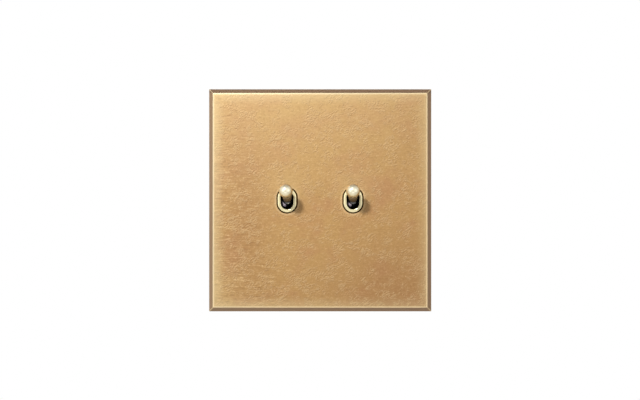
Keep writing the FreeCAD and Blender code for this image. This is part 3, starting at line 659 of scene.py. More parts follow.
@dataclass(frozen=True)
class PolishedBrass:
    """Pale polished brass: bright collars, lined levers with painted highlight and shade, dirt and painted shade in
    joints.
    """

    slot: str = "polished_brass"
    body: Colour = (0.98, 0.88, 0.53)
    painted_highlight_pearl: Colour = (1.0, 0.925, 0.69)
    golden: Colour = (0.93, 0.76, 0.43)
    tarnish: Colour = (0.80, 0.66, 0.38)
    painted_shade_brown: Colour = (0.32, 0.21, 0.10)
    grime_and_shade: Colour = (0.006, 0.005, 0.003)
    metallic: float = 0.55
    turned_metallic: float = 0.5
    neck_dull: float = 0.28
    pearl_highlight_fade: Range = (14.1 * MM, 15.45 * MM)
    crown: Range = (0.5 * MM, 1.8 * MM)
    crown_shade_share: float = 0.55
    neck_metal: float = -0.5
    tarnish_ramp: Ramp = (0.5, 0.8, 0.0, 0.2)
    rough_ramp: Ramp = (0.3, 0.75, 0.20, 0.26)
    turned_from: float = 1e-5
    cloud: Grain = Grain(420.0, 4.0, 0.6)
    turning_lines: float = 5200.0
    line_depth: float = 6e-7

    def reach(self, bench: Bench, out: float, up: float) -> Socket:
        """Distance from the lever's pivot along a direction, out of the wall and up."""
        away = bench.sum("MULTIPLY", bench.sum("SUBTRACT", PIVOT, bench.y), out)
        return bench.sum("MULTIPLY_ADD", bench.z, up, away)

    def lever(self, bench: Bench) -> Socket:
        """Colour of a lever: painted highlight at the tip fading to gold along it, painted brown shade by the height
        above.

        Args:
            bench: Bench of the material.

        Returns:
            The colour.
        """
        cosine, sine = math.cos(LEVER_TILT), math.sin(LEVER_TILT)
        # painted highlight: the head's tip is painted near white, giving way to gold behind it
        gold = bench.remap(self.reach(bench, cosine, sine), *self.pearl_highlight_fade, 1.0, 0.0)
        # painted shade: the top of the head is painted brown
        brown = bench.remap(self.reach(bench, -sine, cosine), *self.crown, 0.0, self.crown_shade_share)
        return bench.coats(self.painted_highlight_pearl, (gold, self.golden), (brown, self.painted_shade_brown))

    def material(self) -> bpy.types.Material:
        """Builds the finish: turned where the mesh has a distance along the lathe, painted brown shade on the neck.

        Returns:
            The material.
        """
        bench = Bench(self.slot)
        lathe, neck, grime_and_shade = (bench.mark(name) for name in ("lathe", "wear_and_painted_light", "grime_and_shade"))
        turned = bench.remap(lathe, 0.0, self.turned_from)
        cloud = bench.noise(self.cloud)
        colour = bench.coats(
            self.body,
            (turned, self.lever(bench)),
            (bench.remap(cloud, *self.tarnish_ramp), self.tarnish),
            # painted shade: the neck is painted brown
            (neck, self.painted_shade_brown),
            # painted shade down the slots and seats, dirt and painted shade in the joints
            (grime_and_shade, self.grime_and_shade),
        )
        rough = bench.sum("MULTIPLY_ADD", neck, self.neck_dull, bench.remap(cloud, *self.rough_ramp))
        metal = bench.sum("MULTIPLY_ADD", turned, self.turned_metallic - self.metallic, self.metallic)
        metal = bench.sum("MULTIPLY", metal, bench.sum("MULTIPLY_ADD", neck, self.neck_metal, 1.0))
        lines = {"W": lathe, "Scale": self.turning_lines, "Detail": 2.0}
        lines = bench.node("ShaderNodeTexNoise", lines, noise_dimensions="1D").outputs["Fac"]
        bench.set(Base_Color=colour, Metallic=metal, Roughness=rough, Specular_IOR_Level=bench.shine(grime_and_shade),
                  Normal=bench.bump(lines, self.line_depth))
        return bench.material


class Coat(NamedTuple):
    """Colour that a noise lays over another, the range over which it comes in, and its share in the end."""

    colour: Colour
    grain: Grain
    spread: Range
    share: float = 1.0


@dataclass(frozen=True)
class WorksFinish:
    """Finish of the works: a body colour under coats, a gloss that drifts with a noise, and fine reliefs."""

    slot: str
    body: Colour
    coats: tuple[Coat, ...]
    polish: Grain
    roughness: Range
    reliefs: tuple[tuple[Grain, float], ...]
    metallic: float = 1.0
    drift: Range = (0.3, 0.7)
    extras: tuple[tuple[str, object], ...] = ()

    def colour(self, bench: Bench) -> Socket:
        """Body colour under its coats."""
        shares = [bench.remap(bench.noise(coat.grain), *coat.spread, 0.0, coat.share) for coat in self.coats]
        return bench.coats(self.body, *zip(shares, (coat.colour for coat in self.coats)))

    def material(self) -> bpy.types.Material:
        """Builds the finish.

        Returns:
            The material.
        """
        bench = Bench(self.slot)
        rough = bench.remap(bench.noise(self.polish), *self.drift, *self.roughness)
        normal = None
        for grain, depth in self.reliefs:
            normal = bench.bump(bench.noise(grain), depth, normal)
        bench.set(Base_Color=self.colour(bench), Metallic=self.metallic, Roughness=rough, Normal=normal,
                  **dict(self.extras))
        return bench.material


@dataclass(frozen=True)
class BallNylon(WorksFinish):
    """Glossy black nylon of the balls, with a painted crescent highlight low on the left of each."""

    painted_crescent_highlight: Colour = (0.95, 0.82, 0.92)
    pitch: float = 25.4 * MM
    aim: Range = (-0.66, -0.75)
    fan: Range = (0.86, 0.99)
    ring: Range = (1.55 * MM, 1.95 * MM)
    front: Range = (-2.6 * MM, -3.0 * MM)

    def colour(self, bench: Bench) -> Socket:
        """Lays the painted highlight over the body.

        The place across is taken from the nearer gang's middle; the painted highlight lies at a distance from the
        ball's middle, seen from the front, that grows from nought to one, and fades with the turn away from the lower
        left.

        Args:
            bench: Bench of the material.

        Returns:
            The colour.
        """
        gang = bench.sum("FLOORED_MODULO", bench.x, self.pitch)
        across, up = bench.sum("SUBTRACT", gang, self.pitch / 2), bench.z
        away = bench.sum("SQRT", bench.square_sum(across, up))
        lean = bench.sum("MULTIPLY_ADD", across, self.aim[0], bench.sum("MULTIPLY", up, self.aim[1]))
        lean = bench.remap(bench.sum("DIVIDE", lean, away), *self.fan)
        share = bench.sum("MULTIPLY", bench.remap(away, *self.ring), lean)
        share = bench.sum("MULTIPLY", share, bench.remap(bench.y, *self.front))
        # painted highlight: a pale crescent low on the left of each black ball
        return bench.blend(share, super().colour(bench), self.painted_crescent_highlight)


TOOL_LINES = Grain((300.0, 5200.0, 300.0), 2.0)
SPANGLE = Grain(520.0, 4.0, 0.65, 0.4)
BARREL_DRAG = Grain((1500.0, 1500.0, 60.0), 2.0)
DRAWN_LINES = Grain((200.0, 4200.0, 4200.0), 2.0)
FROST = Grain(1600.0, 4.0, 0.6)
FLOW = Grain((60.0, 160.0, 60.0), 4.0, 0.55, 1.2)
DRIFT = Grain(700.0)
MILK = Grain(240.0)

FINISHES = (
    AgedBrass(),
    PolishedBrass(),
    # Sawn and milled brass with fine tool lines and dull patches
    WorksFinish("terminal_brass", (0.73, 0.57, 0.28),
                (Coat((0.50, 0.36, 0.16), Grain(360.0, 4.0, 0.6), (0.42, 0.72)),),
                TOOL_LINES, (0.26, 0.44), ((TOOL_LINES, 3e-6),)),
    # Zinc plating: cool grey, softly spangled, straw in places, with drag marks from the barrel
    WorksFinish("zinc_steel", (0.70, 0.71, 0.73), (
        Coat((0.54, 0.56, 0.59), SPANGLE, (0.4, 0.68)),
        Coat((0.66, 0.63, 0.54), Grain(70.0, 3.0, 0.55), (0.5, 0.75), 0.5),
    ), BARREL_DRAG, (0.26, 0.44), ((SPANGLE, 3e-6), (BARREL_DRAG, 2e-6))),
    # Drawn spring wire and ground pins: dark grey, blued along the lines of the draw
    WorksFinish("spring_steel", (0.42, 0.42, 0.44), (Coat((0.24, 0.26, 0.31), DRAWN_LINES, (0.4, 0.7), 0.7),),
                DRAWN_LINES, (0.22, 0.38), ((DRAWN_LINES, 1e-6),)),
    # Silver buttons, faintly frosted and spotted
    WorksFinish("contact_silver", (0.84, 0.83, 0.80), (Coat((0.52, 0.49, 0.45), FROST, (0.52, 0.72), 0.8),),
                FROST, (0.19, 0.36), ((FROST, 3e-6),)),
    # Black thermoset with a fine spark texture, faint flow marks and paler dust
    WorksFinish("black_moulding", (0.018, 0.018, 0.020), (Coat((0.042, 0.041, 0.040), FLOW, (0.4, 0.75)),),
                FLOW, (0.38, 0.56), ((Grain(5200.0, 3.0, 0.6), 1.6e-5),), 0.0),
    BallNylon("black_nylon", (0.006, 0.006, 0.007), (Coat((0.016, 0.016, 0.018), DRIFT, (0.45, 0.75)),),
              DRIFT, (0.09, 0.20), ((DRIFT, 2e-6),), 0.0,
              extras=(("IOR", 1.8), ("Coat_Weight", 1.0), ("Coat_Roughness", 0.12))),
    # Undyed nylon: milky, slightly warm and a little translucent
    WorksFinish("nylon", (0.74, 0.71, 0.62), (Coat((0.62, 0.57, 0.46), MILK, (0.4, 0.7)),),
                MILK, (0.34, 0.5), ((Grain(4200.0, 2.0), 4e-6),), 0.0,
                extras=(("Subsurface_Weight", 0.15), ("Subsurface_Radius", (0.002, 0.0016, 0.001)))),
)


@dataclass
class FinishRack:
    """The finishes by the record's slot names, each made once, and the hand that seats pieces in them."""

    made: dict[str, bpy.types.Material] = field(default_factory=dict)

    def dress(self, piece: bpy.types.Object, slot: str) -> None:
        """Gives a piece the one material of a slot, made on first use.

        Args:
            piece: New piece or node.
            slot: The record's slot.
        """
        if slot not in self.made:
            self.made[slot] = next(finish for finish in FINISHES if finish.slot == slot).material()
        piece.data.materials.clear()
        piece.data.materials.append(self.made[slot])

    def seat(self, piece: bpy.types.Object, node: str, slot: str) -> None:
        """Dresses a piece, rides it on its node's body and lets it stand for the node.

        Args:
            piece: The finished piece.
            node: Node that it stands for.
            slot: The record's slot of its finish.
        """
        self.dress(piece, slot)
        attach(piece, frame["nodes"][node]["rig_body"])
        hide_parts(node)
        LOG.info("%s: %d faces, for %s", piece.name, len(piece.data.polygons), node)


@dataclass
class FrontPlate:
    """Square plate: mitred bevels, soft worn arrises with painted light, a milled pocket behind, an oblong hole a
    gang.
    """

    rack: FinishRack
    arris: float = 0.9 * MM
    mitre: float = 0.22 * MM
    shoulder: float = 0.2 * MM
    back_edge: float = 0.18 * MM
    rim: float = 4.0 * MM
    skin: float = 1.8 * MM
    pocket_corner: float = 3.0 * MM
    pocket_root: float = 0.5 * MM
    hole_half: float = 4.075 * MM
    hole_straight: float = 1.035 * MM
    hole_edge: float = 0.1 * MM
    halo: float = 0.36 * MM
    hole_shade_depth: float = 0.15 * MM
    margin: float = 0.9 * MM
    mitre_wear: float = 0.7
    side_spans: int = 22
    corner_spans: int = 6
    seam_spans: int = 33
    rings: int = 14
    arc_spans: int = 10

    def half_path(self, half: float) -> Array:
        """Points of the unit square's left half, from the top middle round to the bottom middle.

        Positions run evenly along each side and gather within the mitre's rounding at the corners.

        Args:
            half: Half side, to scale the rounding.

        Returns:
            Points of shape (n, 2).
        """
        near = self.mitre / half
        corner = 1.0 - near * np.linspace(1.0, 0.0, self.corner_spans + 1)
        run = np.concatenate([np.linspace(0.0, 1.0 - 2 * near, self.side_spans), corner])
        top = np.stack([-run, np.ones_like(run)], axis=1)
        upper = -top[::-1, ::-1]
        quarter = np.concatenate([top, upper[1:]])
        return np.concatenate([quarter, (quarter * [1, -1])[::-1][1:]])

    def face(self, outer: Array, inner: Array, depth: float) -> Patch:
        """Flat ring between a hole's loop and half of the plate's outline.

        A point lies on the straight line from a loop point to its outline point, at shares that grow with the power
        of one and a half, so that the cells stay small near the hole.

        Args:
            outer: Closed outline, shape (n, 2).
            inner: Closed loop, shape (n, 2).
            depth: Its y.

        Returns:
            The patch.
        """
        share = np.linspace(0.0, 1.0, self.rings + 1)[:, None, None] ** 1.5
        return Patch(upright(inner * (1 - share) + outer * share, depth), wrap_columns=True)

    def edge(self, half: float, front: float, back: float) -> Profile:
        """Section of the plate's edge: face, bevel, side, back rim, and down the pocket's wall to its floor.

        Args:
            half: Half side of the plate.
            front: Y of its face.
            back: Y of its back.

        Returns:
            The section.
        """
        pocket, floor = half - self.rim, front + self.skin
        return rounded_profile([
            Corner(half - BEVEL - self.margin - self.arris / 2, front, plan=self.mitre),
            Corner(half - BEVEL, front, self.arris, 1.0, self.mitre),
            Corner(half, front + BEVEL, self.shoulder, 0.55, self.mitre),
            Corner(half, back, self.back_edge, 0.4, self.mitre),
            Corner(pocket, back, self.back_edge, 0.2, self.pocket_corner),
            Corner(pocket, floor, self.pocket_root, 0.0, self.pocket_corner),
            Corner(pocket - self.margin, floor, plan=self.pocket_corner),
        ], self.arc_spans)

    def hole(self, front: float) -> Profile:
        """Section of a hole's wall: over a worn halo with painted highlight, down a joint with dirt and painted
        shade, to the floor.

        Args:
            front: Y of the plate's face.

        Returns:
            The section.
        """
        lip, floor = self.hole_half + self.margin, front + self.skin
        return rounded_profile([
            Corner(lip, front),
            # pale halo round the hole: worn, and painted as a highlight
            Corner(self.hole_half + self.halo, front, wear_and_painted_light=0.3),
            Corner(self.hole_half, front, self.hole_edge, 0.4),
            # dirt and painted shade down the joint round the ring
            Corner(self.hole_half, front + self.hole_shade_depth, grime_and_shade=1.0),
            Corner(self.hole_half, floor, grime_and_shade=1.0),
            Corner(lip, floor),
        ])

    def build(self) -> None:
        """Sweeps the edge round the square, the hole's wall round each oblong, and fills between with flat rings."""
        low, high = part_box("front_plate")
        half, front = high.x, low.y
        edge, wall = self.edge(half, front, high.y), self.hole(front)
        left = self.half_path(half)
        path = np.concatenate([left, (left * [-1, 1])[::-1][1:-1]])
        loops = rounded_square(path, edge.across, edge.plan)
        near_mitre = np.clip(1 - half * (1 - np.abs(path).min(axis=1)) / (2 * self.mitre), 0.0, 1.0)
        on_bevel = (edge.across >= half - BEVEL) & (edge.along < high.y - self.back_edge)
        wear_and_painted_light = np.maximum(edge.wear_and_painted_light[:, None], self.mitre_wear * on_bevel[:, None] * near_mitre)
        patches = [Patch(upright(loops, edge.along), wear_and_painted_light, wrap_columns=True)]
        for gang in Gang:
            side = -1.0 if gang is Gang.LEFT else 1.0
            outlines = []
            for k in (0, -1):
                end = rounded_square(left, edge.across[[k]], edge.plan[[k]])[0] * [-side, 1]
                outlines.append(np.concatenate([end, np.linspace(end[-1], end[0], self.seam_spans + 1)[1:-1]]))
            inner, outward = Oblong(gang.middle(), self.hole_straight).toward(outlines[0], wall.across[0])
            rows = upright(inner + (wall.across - wall.across[0])[:, None, None] * outward, wall.along)
            patches.append(Patch(rows, wall.wear_and_painted_light[:, None], wall.grime_and_shade[:, None], wrap_columns=True))
            patches += [self.face(outline, inner, y) for outline, y in zip(outlines, wall.along[[0, -1]])]
        self.rack.seat(weld("plate_shell", patches), "front_plate", "aged_brass")


@dataclass
class Collar:
    """Bush of one gang: polished oblong ring with a rounded lip and a slot, and the block and flange behind it."""

    rack: FinishRack
    gang: Gang
    slot_half: float = 2.45 * MM
    straight: float = 1.033 * MM
    ring_wall: float = 1.2 * MM
    lip: float = 0.55 * MM
    mouth: float = 0.3 * MM
    seat: float = 3.45 * MM
    seat_start: float = 0.12
    rear_half: float = 3.55 * MM
    block: Range = (5.4 * MM, 5.66 * MM)
    block_front: float = -2.9 * MM
    flange_front: float = -0.4 * MM
    plate_front: float = -5.0 * MM
    joint_shade_edge: float = 0.1 * MM
    slot_shade_start: float = 0.55 * MM
    soft: float = 0.25 * MM
    seat_points: int = 8
    arc_spans: int = 10

    def oblong_rows(self, hole: Oblong, front: float, back: float) -> Patch:
        """Rows from the rear opening along the ball's seat and the slot to the ring's front and down its outside.

        The seat follows a circle about the pivot: across = sqrt(seat^2 - (along - pivot)^2).

        Args:
            hole: The gang's oblong.
            front: Y of the ring's front.
            back: Y of the flange's back.

        Returns:
            The rows, with painted shade inside the slot and dirt and painted shade where the ring is sunk in the
            plate.
        """
        depth = math.sqrt(self.seat ** 2 - self.slot_half ** 2)
        turn = np.linspace(self.seat_start, math.asin(depth / self.seat), self.seat_points)[:-1]
        ring_half = self.slot_half + self.ring_wall
        line = rounded_profile([
            # painted shade down the slot and over the seat
            Corner(self.slot_half, PIVOT - depth, grime_and_shade=1.0),
            Corner(self.slot_half, front + self.slot_shade_start, grime_and_shade=1.0),
            Corner(self.slot_half, front, self.mouth),
            Corner(ring_half, front, self.lip),
            Corner(ring_half, self.plate_front - self.joint_shade_edge),
            # dirt and painted shade where the ring sinks into the plate
            Corner(ring_half, self.plate_front + self.joint_shade_edge, grime_and_shade=1.0),
            Corner(ring_half, self.block_front, grime_and_shade=1.0),
        ], self.arc_spans)
        across = np.concatenate([[self.rear_half, self.rear_half], self.seat * np.cos(turn), line.across])
        along = np.concatenate([[back, PIVOT], PIVOT - self.seat * np.sin(turn), line.along])
        grime_and_shade = np.concatenate([np.ones(len(turn) + 2), line.grime_and_shade])
        return Patch(upright(hole.loops(across), along), grime_and_shade=grime_and_shade)

    def block_loop(self, aim: Array, half: Range, depth: float) -> Array:
        """Rectangle round the Y axis with softened corners: each aim is stretched until it meets the nearer side.

        Args:
            aim: Plan directions, shape (n, 2).
            half: Half width and half height.
            depth: Its y.

        Returns:
            Points of shape (n, 3).
        """
        sides = np.array(half)
        square = aim / np.max(np.abs(aim) / sides, axis=1, keepdims=True) / sides
        soft = np.array([self.soft / half[0]])
        return upright(rounded_square(square, np.ones(1), soft)[0] * sides, depth)

    def build(self) -> None:
        """Closes one grid from the slot over the ring, the block and the flange back to the slot."""
        low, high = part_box(self.gang.node("bush"))
        hole = Oblong(self.gang.middle(), self.straight)
        rows = self.oblong_rows(hole, low.y, high.y)
        aim = rows.points[-1][:, [0, 2]] - [hole.x, 0.0]
        flange = ((high.x - low.x) / 2, (high.z - low.z) / 2)
        back = [(self.block, self.block_front), (self.block, self.flange_front),
                (flange, self.flange_front), (flange, high.y)]
        outer = np.stack([self.block_loop(aim, half, y) + hole.x * ACROSS for half, y in back])
        grime_and_shade = np.concatenate([rows.grime_and_shade, [1.0], np.zeros(len(outer) - 1)])[:, None]
        patch = Patch(np.concatenate([rows.points, outer]), grime_and_shade=grime_and_shade, wrap_rows=True, wrap_columns=True)
        self.rack.seat(weld(self.gang.node("collar"), [patch]), self.gang.node("bush"), "polished_brass")


@dataclass
class Dolly:
    """Turned lever of one gang: stud in the ball, straight neck, hollow flare and round head, tilted up at rest."""

    rack: FinishRack
    gang: Gang
    ball: float = 3.2 * MM
    reach: float = 13.1 * MM
    neck: float = 1.7 * MM
    neck_straight: float = 1.3 * MM
    neck_edge: float = 0.08 * MM
    painted_shade_brown: Range = (8.6 * MM, 10.6 * MM)
    stud: float = 0.9 * MM
    stud_length: float = 1.6 * MM
    stud_edge: float = 0.15 * MM
    edge_spans: int = 4
    flare_points: int = 28
    head_points: int = 44
    sides: int = 96

    def section(self) -> tuple[Array, Array]:
        """Half section along the lever's axis, from the stud's end to the tip.

        The flare is a circle that starts straight along the neck and touches the head's circle: with a rise h and a
        growth g its radius is (h^2 / g - head - neck) / 2.

        Returns:
            Distances across and along.
        """
        low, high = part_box(self.gang.node("dolly"))
        head = (high.x - low.x) / 2
        seat = math.sqrt(self.ball ** 2 - self.neck ** 2)
        start = seat + self.neck_straight
        rise, grow = self.reach - start, head - self.neck
        flare = (rise ** 2 / grow - head - self.neck) / 2
        sweep = math.atan2(rise, self.neck + flare)
        bend = np.linspace(0.0, sweep, self.flare_points)
        crown = np.linspace(-sweep, math.pi / 2, self.head_points)[1:]
        foot = rounded_profile([
            Corner(0.0, seat - self.stud_length),
            Corner(self.stud, seat - self.stud_length, self.stud_edge),
            Corner(self.stud, seat),
            Corner(self.neck, seat, self.neck_edge),
            Corner(self.neck, start),
        ], self.edge_spans)
        flared = self.neck + flare * (1 - np.cos(bend))
        across = np.concatenate([foot.across[:-1], flared, head * np.cos(crown)])
        across[-1] = 0.0
        risen = start + flare * np.sin(bend)
        return across, np.concatenate([foot.along[:-1], risen, self.reach + head * np.sin(crown)])

    def build(self) -> None:
        """Turns the section about the lever's tilted axis.

        A point is the foot plus its distance along times the axis plus its distance across times a direction that
        turns evenly round the axis. The neck's painted brown shade, in the same mark as the plate's worn edges, fades
        out below the head.
        """
        across, along = self.section()
        foot, axis = self.gang.lever()
        side = np.cross(axis, ACROSS)
        spokes = circle(self.sides) @ np.stack([side, np.cross(axis, side)])
        points = foot + along[:, None, None] * axis + across[:, None, None] * spokes
        # painted shade: brown on the neck, fading out below the head
        painted_shade_brown = 1 - np.clip((along - self.painted_shade_brown[0]) / (self.painted_shade_brown[1] - self.painted_shade_brown[0]), 0.0, 1.0)
        lathe = np.concatenate([[0.0], np.cumsum(np.hypot(np.diff(across), np.diff(along)))])
        patch = Patch(points, wear_and_painted_light=painted_shade_brown[:, None], lathe=lathe[:, None], wrap_columns=True)
        self.rack.seat(weld(self.gang.node("lever"), [patch]), self.gang.node("dolly"), "polished_brass")


@dataclass
class PlungerSpring:
    """Coil spring of one gang in the bore behind the ball, made at its rest length."""

    rack: FinishRack
    gang: Gang
    coil: float = 1.05 * MM
    wire: float = 0.18 * MM
    turns: int = 4
    bore_end: float = -1.62 * MM
    plunger_end: float = -4.98 * MM
    travel: float = 0.5 * MM
    spans: int = 36
    sides: int = 12

    def build(self) -> None:
        """Sweeps a round wire along a helix.

        The wire's centre turns evenly about the lever's axis at the coil's radius while it climbs evenly along it; a
        point of the wire lies round that centre, the wire's radius times a direction that turns from the outward one
        to the axis. A ring of radius nought closes each end.
        """
        foot, axis = self.gang.lever()
        share = np.linspace(0.0, 1.0, self.turns * self.spans + 1)
        share = np.concatenate([share[:1], share, share[-1:]])[:, None]
        turn = 2 * math.pi * self.turns * share
        outward = np.cos(turn) * ACROSS + np.sin(turn) * np.cross(axis, ACROSS)
        first, last = self.plunger_end + self.wire, self.bore_end - self.wire
        centre = foot + (first + (last - first) * share) * axis + self.coil * outward
        radius = np.full((len(share), 1, 1), self.wire)
        radius[[0, -1]] = 0.0
        ring = circle(self.sides)[:, :, None]
        points = centre[:, None] + radius * (ring[:, 0] * outward[:, None] + ring[:, 1] * axis)
        piece = weld(self.gang.node("coil"), [Patch(points, wrap_columns=True)])
        self.rack.seat(piece, self.gang.node("plunger_spring"), "spring_steel")
        tuple(axis)
        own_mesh(piece)


@dataclass(frozen=True)
class Screw:
    """Slotted screw: a rounded head, a plain neck and a rolled thread, as points (x, z, height above the seat)."""

    head: float
    height: float
    shank: float
    pitch: float
    neck: float = 0.0
    neck_length: float = 0.0
    head_round: float = 0.25 * MM
    slot: float = 0.7 * MM
    root_share: float = 0.61
    crest_band: Range = (0.14, 0.86)
    fade_turns: Range = (1.0, 1.5)
    tip_turns: float = 0.5
    tip_share: float = 0.72
    turn_rows: int = 8
    least_rows: int = 24
    chord_points: int = 25
    sides: int = 36

    def crown(self, rows: int = 9) -> Patch:
        """Face of the head with its screwdriver slot.

        Rows lie at fixed distances from the slot's middle, with two rows at each wall of the slot, one on top and one
        on its floor; along a row the place is the share times the head's half chord there.

        Args:
            rows: Rows on each side of the slot.

        Returns:
            The patch.
        """
        inner, half = self.head - self.head_round, self.slot / 2
        beside = half + (inner - half) * np.linspace(0.0, 1.0, rows) ** 0.6
        z = np.concatenate([-beside[::-1], [-half, half], beside])[:, None]
        deep = np.concatenate([np.zeros(rows), np.ones(2), np.zeros(rows)])[:, None] * self.height / 2
        share = np.sin(np.linspace(-math.pi / 2, math.pi / 2, self.chord_points))
        x = np.sqrt(np.maximum(inner ** 2 - z ** 2, 0.0)) * share
        return Patch(np.stack(np.broadcast_arrays(x, z, self.height - deep), axis=-1))

    def flank(self, crown: Patch, steps: int = 6) -> Patch:
        """Side of the head, from the rim of its face round the edge and in to the shank.

        The rim's points move out by the edge radius along their own direction while they drop by it, as a quarter
        circle, except where the slot has already cut lower.

        Args:
            crown: Face of the head.
            steps: Spans of the rounded edge.

        Returns:
            The patch.
        """
        rim = np.concatenate([crown.points[:, -1], crown.points[::-1, 0]])
        plan = rim[:, :2] / np.maximum(np.linalg.norm(rim[:, :2], axis=1, keepdims=True), TINY)
        turn = np.linspace(0.0, math.pi / 2, steps + 1)
        radius = self.head - self.head_round * (1 - np.sin(turn))
        radius = np.concatenate([radius, [self.head, self.neck or self.shank]])
        drop = np.concatenate([self.height - self.head_round * (1 - np.cos(turn)), [0.0, 0.0]])
        height = np.minimum(drop[:, None], rim[:, 2])
        return Patch(np.concatenate([radius[:, None, None] * plan, height[..., None]], axis=-1), wrap_columns=True)

    def shaft(self, length: float) -> Patch:
        """Plain neck and rolled thread.

        The thread's radius swings between root and crest with a triangle wave of (depth / pitch - turn). The crest
        fades in over the first turn and out over the last one and a half, and the tip tapers and is closed.

        Args:
            length: Length below the seat.

        Returns:
            The patch.
        """
        run = length - self.neck_length
        depth = np.linspace(0.0, run, max(int(run / self.pitch * self.turn_rows), self.least_rows))[:, None]
        turn = np.linspace(0.0, 1.0, self.sides, endpoint=False)
        wave = np.abs(2 * np.mod(depth / self.pitch - turn, 1.0) - 1)
        crest = np.clip((wave - self.crest_band[0]) / (self.crest_band[1] - self.crest_band[0]), 0.0, 1.0)
        done, left = depth / self.pitch, (run - depth) / self.pitch
        fade = np.clip(done / self.fade_turns[0], 0.0, 1.0) * np.clip(left / self.fade_turns[1], 0.0, 1.0)
        root = self.shank - self.root_share * self.pitch
        taper = self.tip_share + (1 - self.tip_share) * np.clip(left / self.tip_turns, 0.0, 1.0)
        plain = np.full((2, self.sides), self.neck or self.shank)
        thread = (root + (self.shank - root) * crest * fade) * taper
        radius = np.concatenate([plain, thread, np.zeros((1, self.sides))])
        sunk = np.concatenate([[0.0, self.neck_length], self.neck_length + depth[:, 0], [length]])
        height = np.broadcast_to(-sunk[:, None, None], (*radius.shape, 1))
        return Patch(np.concatenate([radius[..., None] * circle(self.sides), height], axis=-1), wrap_columns=True)


@dataclass
class ScrewSet:
    """Screws that share one node, each in a corner or at the middle of the node's box."""

    rack: FinishRack
    node: str
    screw: Screw
    drive: Drive
    corners: tuple[tuple[int, int], ...]

    def build(self) -> None:
        """Makes one screw and repeats it in each corner; -1, 0 and 1 are the low end, the middle and the high."""
        low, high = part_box(self.node)
        screw, way = self.screw, self.drive.value
        seat = low.y + screw.height if self.drive is Drive.INTO_WALL else high.y - screw.height
        middle = np.array([low.x + high.x, low.z + high.z]) / 2
        room = np.array([high.x - low.x, high.z - low.z]) / 2 - screw.head
        crown = screw.crown()
        parts = [crown, screw.flank(crown), screw.shaft(high.y - low.y - screw.height)]
        patches = [
            Patch(upright(middle + room * corner + part.points[..., :2], 0.0)
                  + (seat - way * part.points[..., 2:]) * [0.0, 1.0, 0.0], wrap_columns=part.wrap_columns)
            for corner in self.corners for part in parts
        ]
        self.rack.seat(weld(f"{self.node}_rolled", patches, 32.0), self.node, "zinc_steel")


@dataclass
class Works:
    """The pieces that keep the shape of the part's own solids: cases, yoke, terminals and the moving contacts."""

    rack: FinishRack

    def dress(self) -> None:
        """Gives every shown node the finish of its slot."""
        slots = {row["node"]: row["material_slot"] for row in frame["record"]["subparts"]}
        for name, node in frame["nodes"].items():
            if not node.hide_render:
                self.rack.dress(node, slots[name])
                LOG.info("%s: %s", name, slots[name])


@dataclass(frozen=True)
class Softbox:
    """Rectangular lamp aimed at the plate."""

    name: str
    place: tuple[float, float, float]
    size: tuple[float, float]
    radiance: float

    def light(self) -> None:
        """Hangs the lamp: its power is pi times its area times the radiance of its face."""
        lamp = bpy.data.lights.new(self.name, "AREA")
        lamp.shape = "RECTANGLE"
        lamp.size, lamp.size_y = self.size
        lamp.energy = self.radiance * math.pi * self.size[0] * self.size[1]
        hung = bpy.data.objects.new(self.name, lamp)
        hung.location = self.place
        hung.rotation_euler = (-Vector(self.place)).to_track_quat("-Z", "Y").to_euler()
        hung.visible_camera = False
        bpy.context.scene.collection.objects.link(hung)


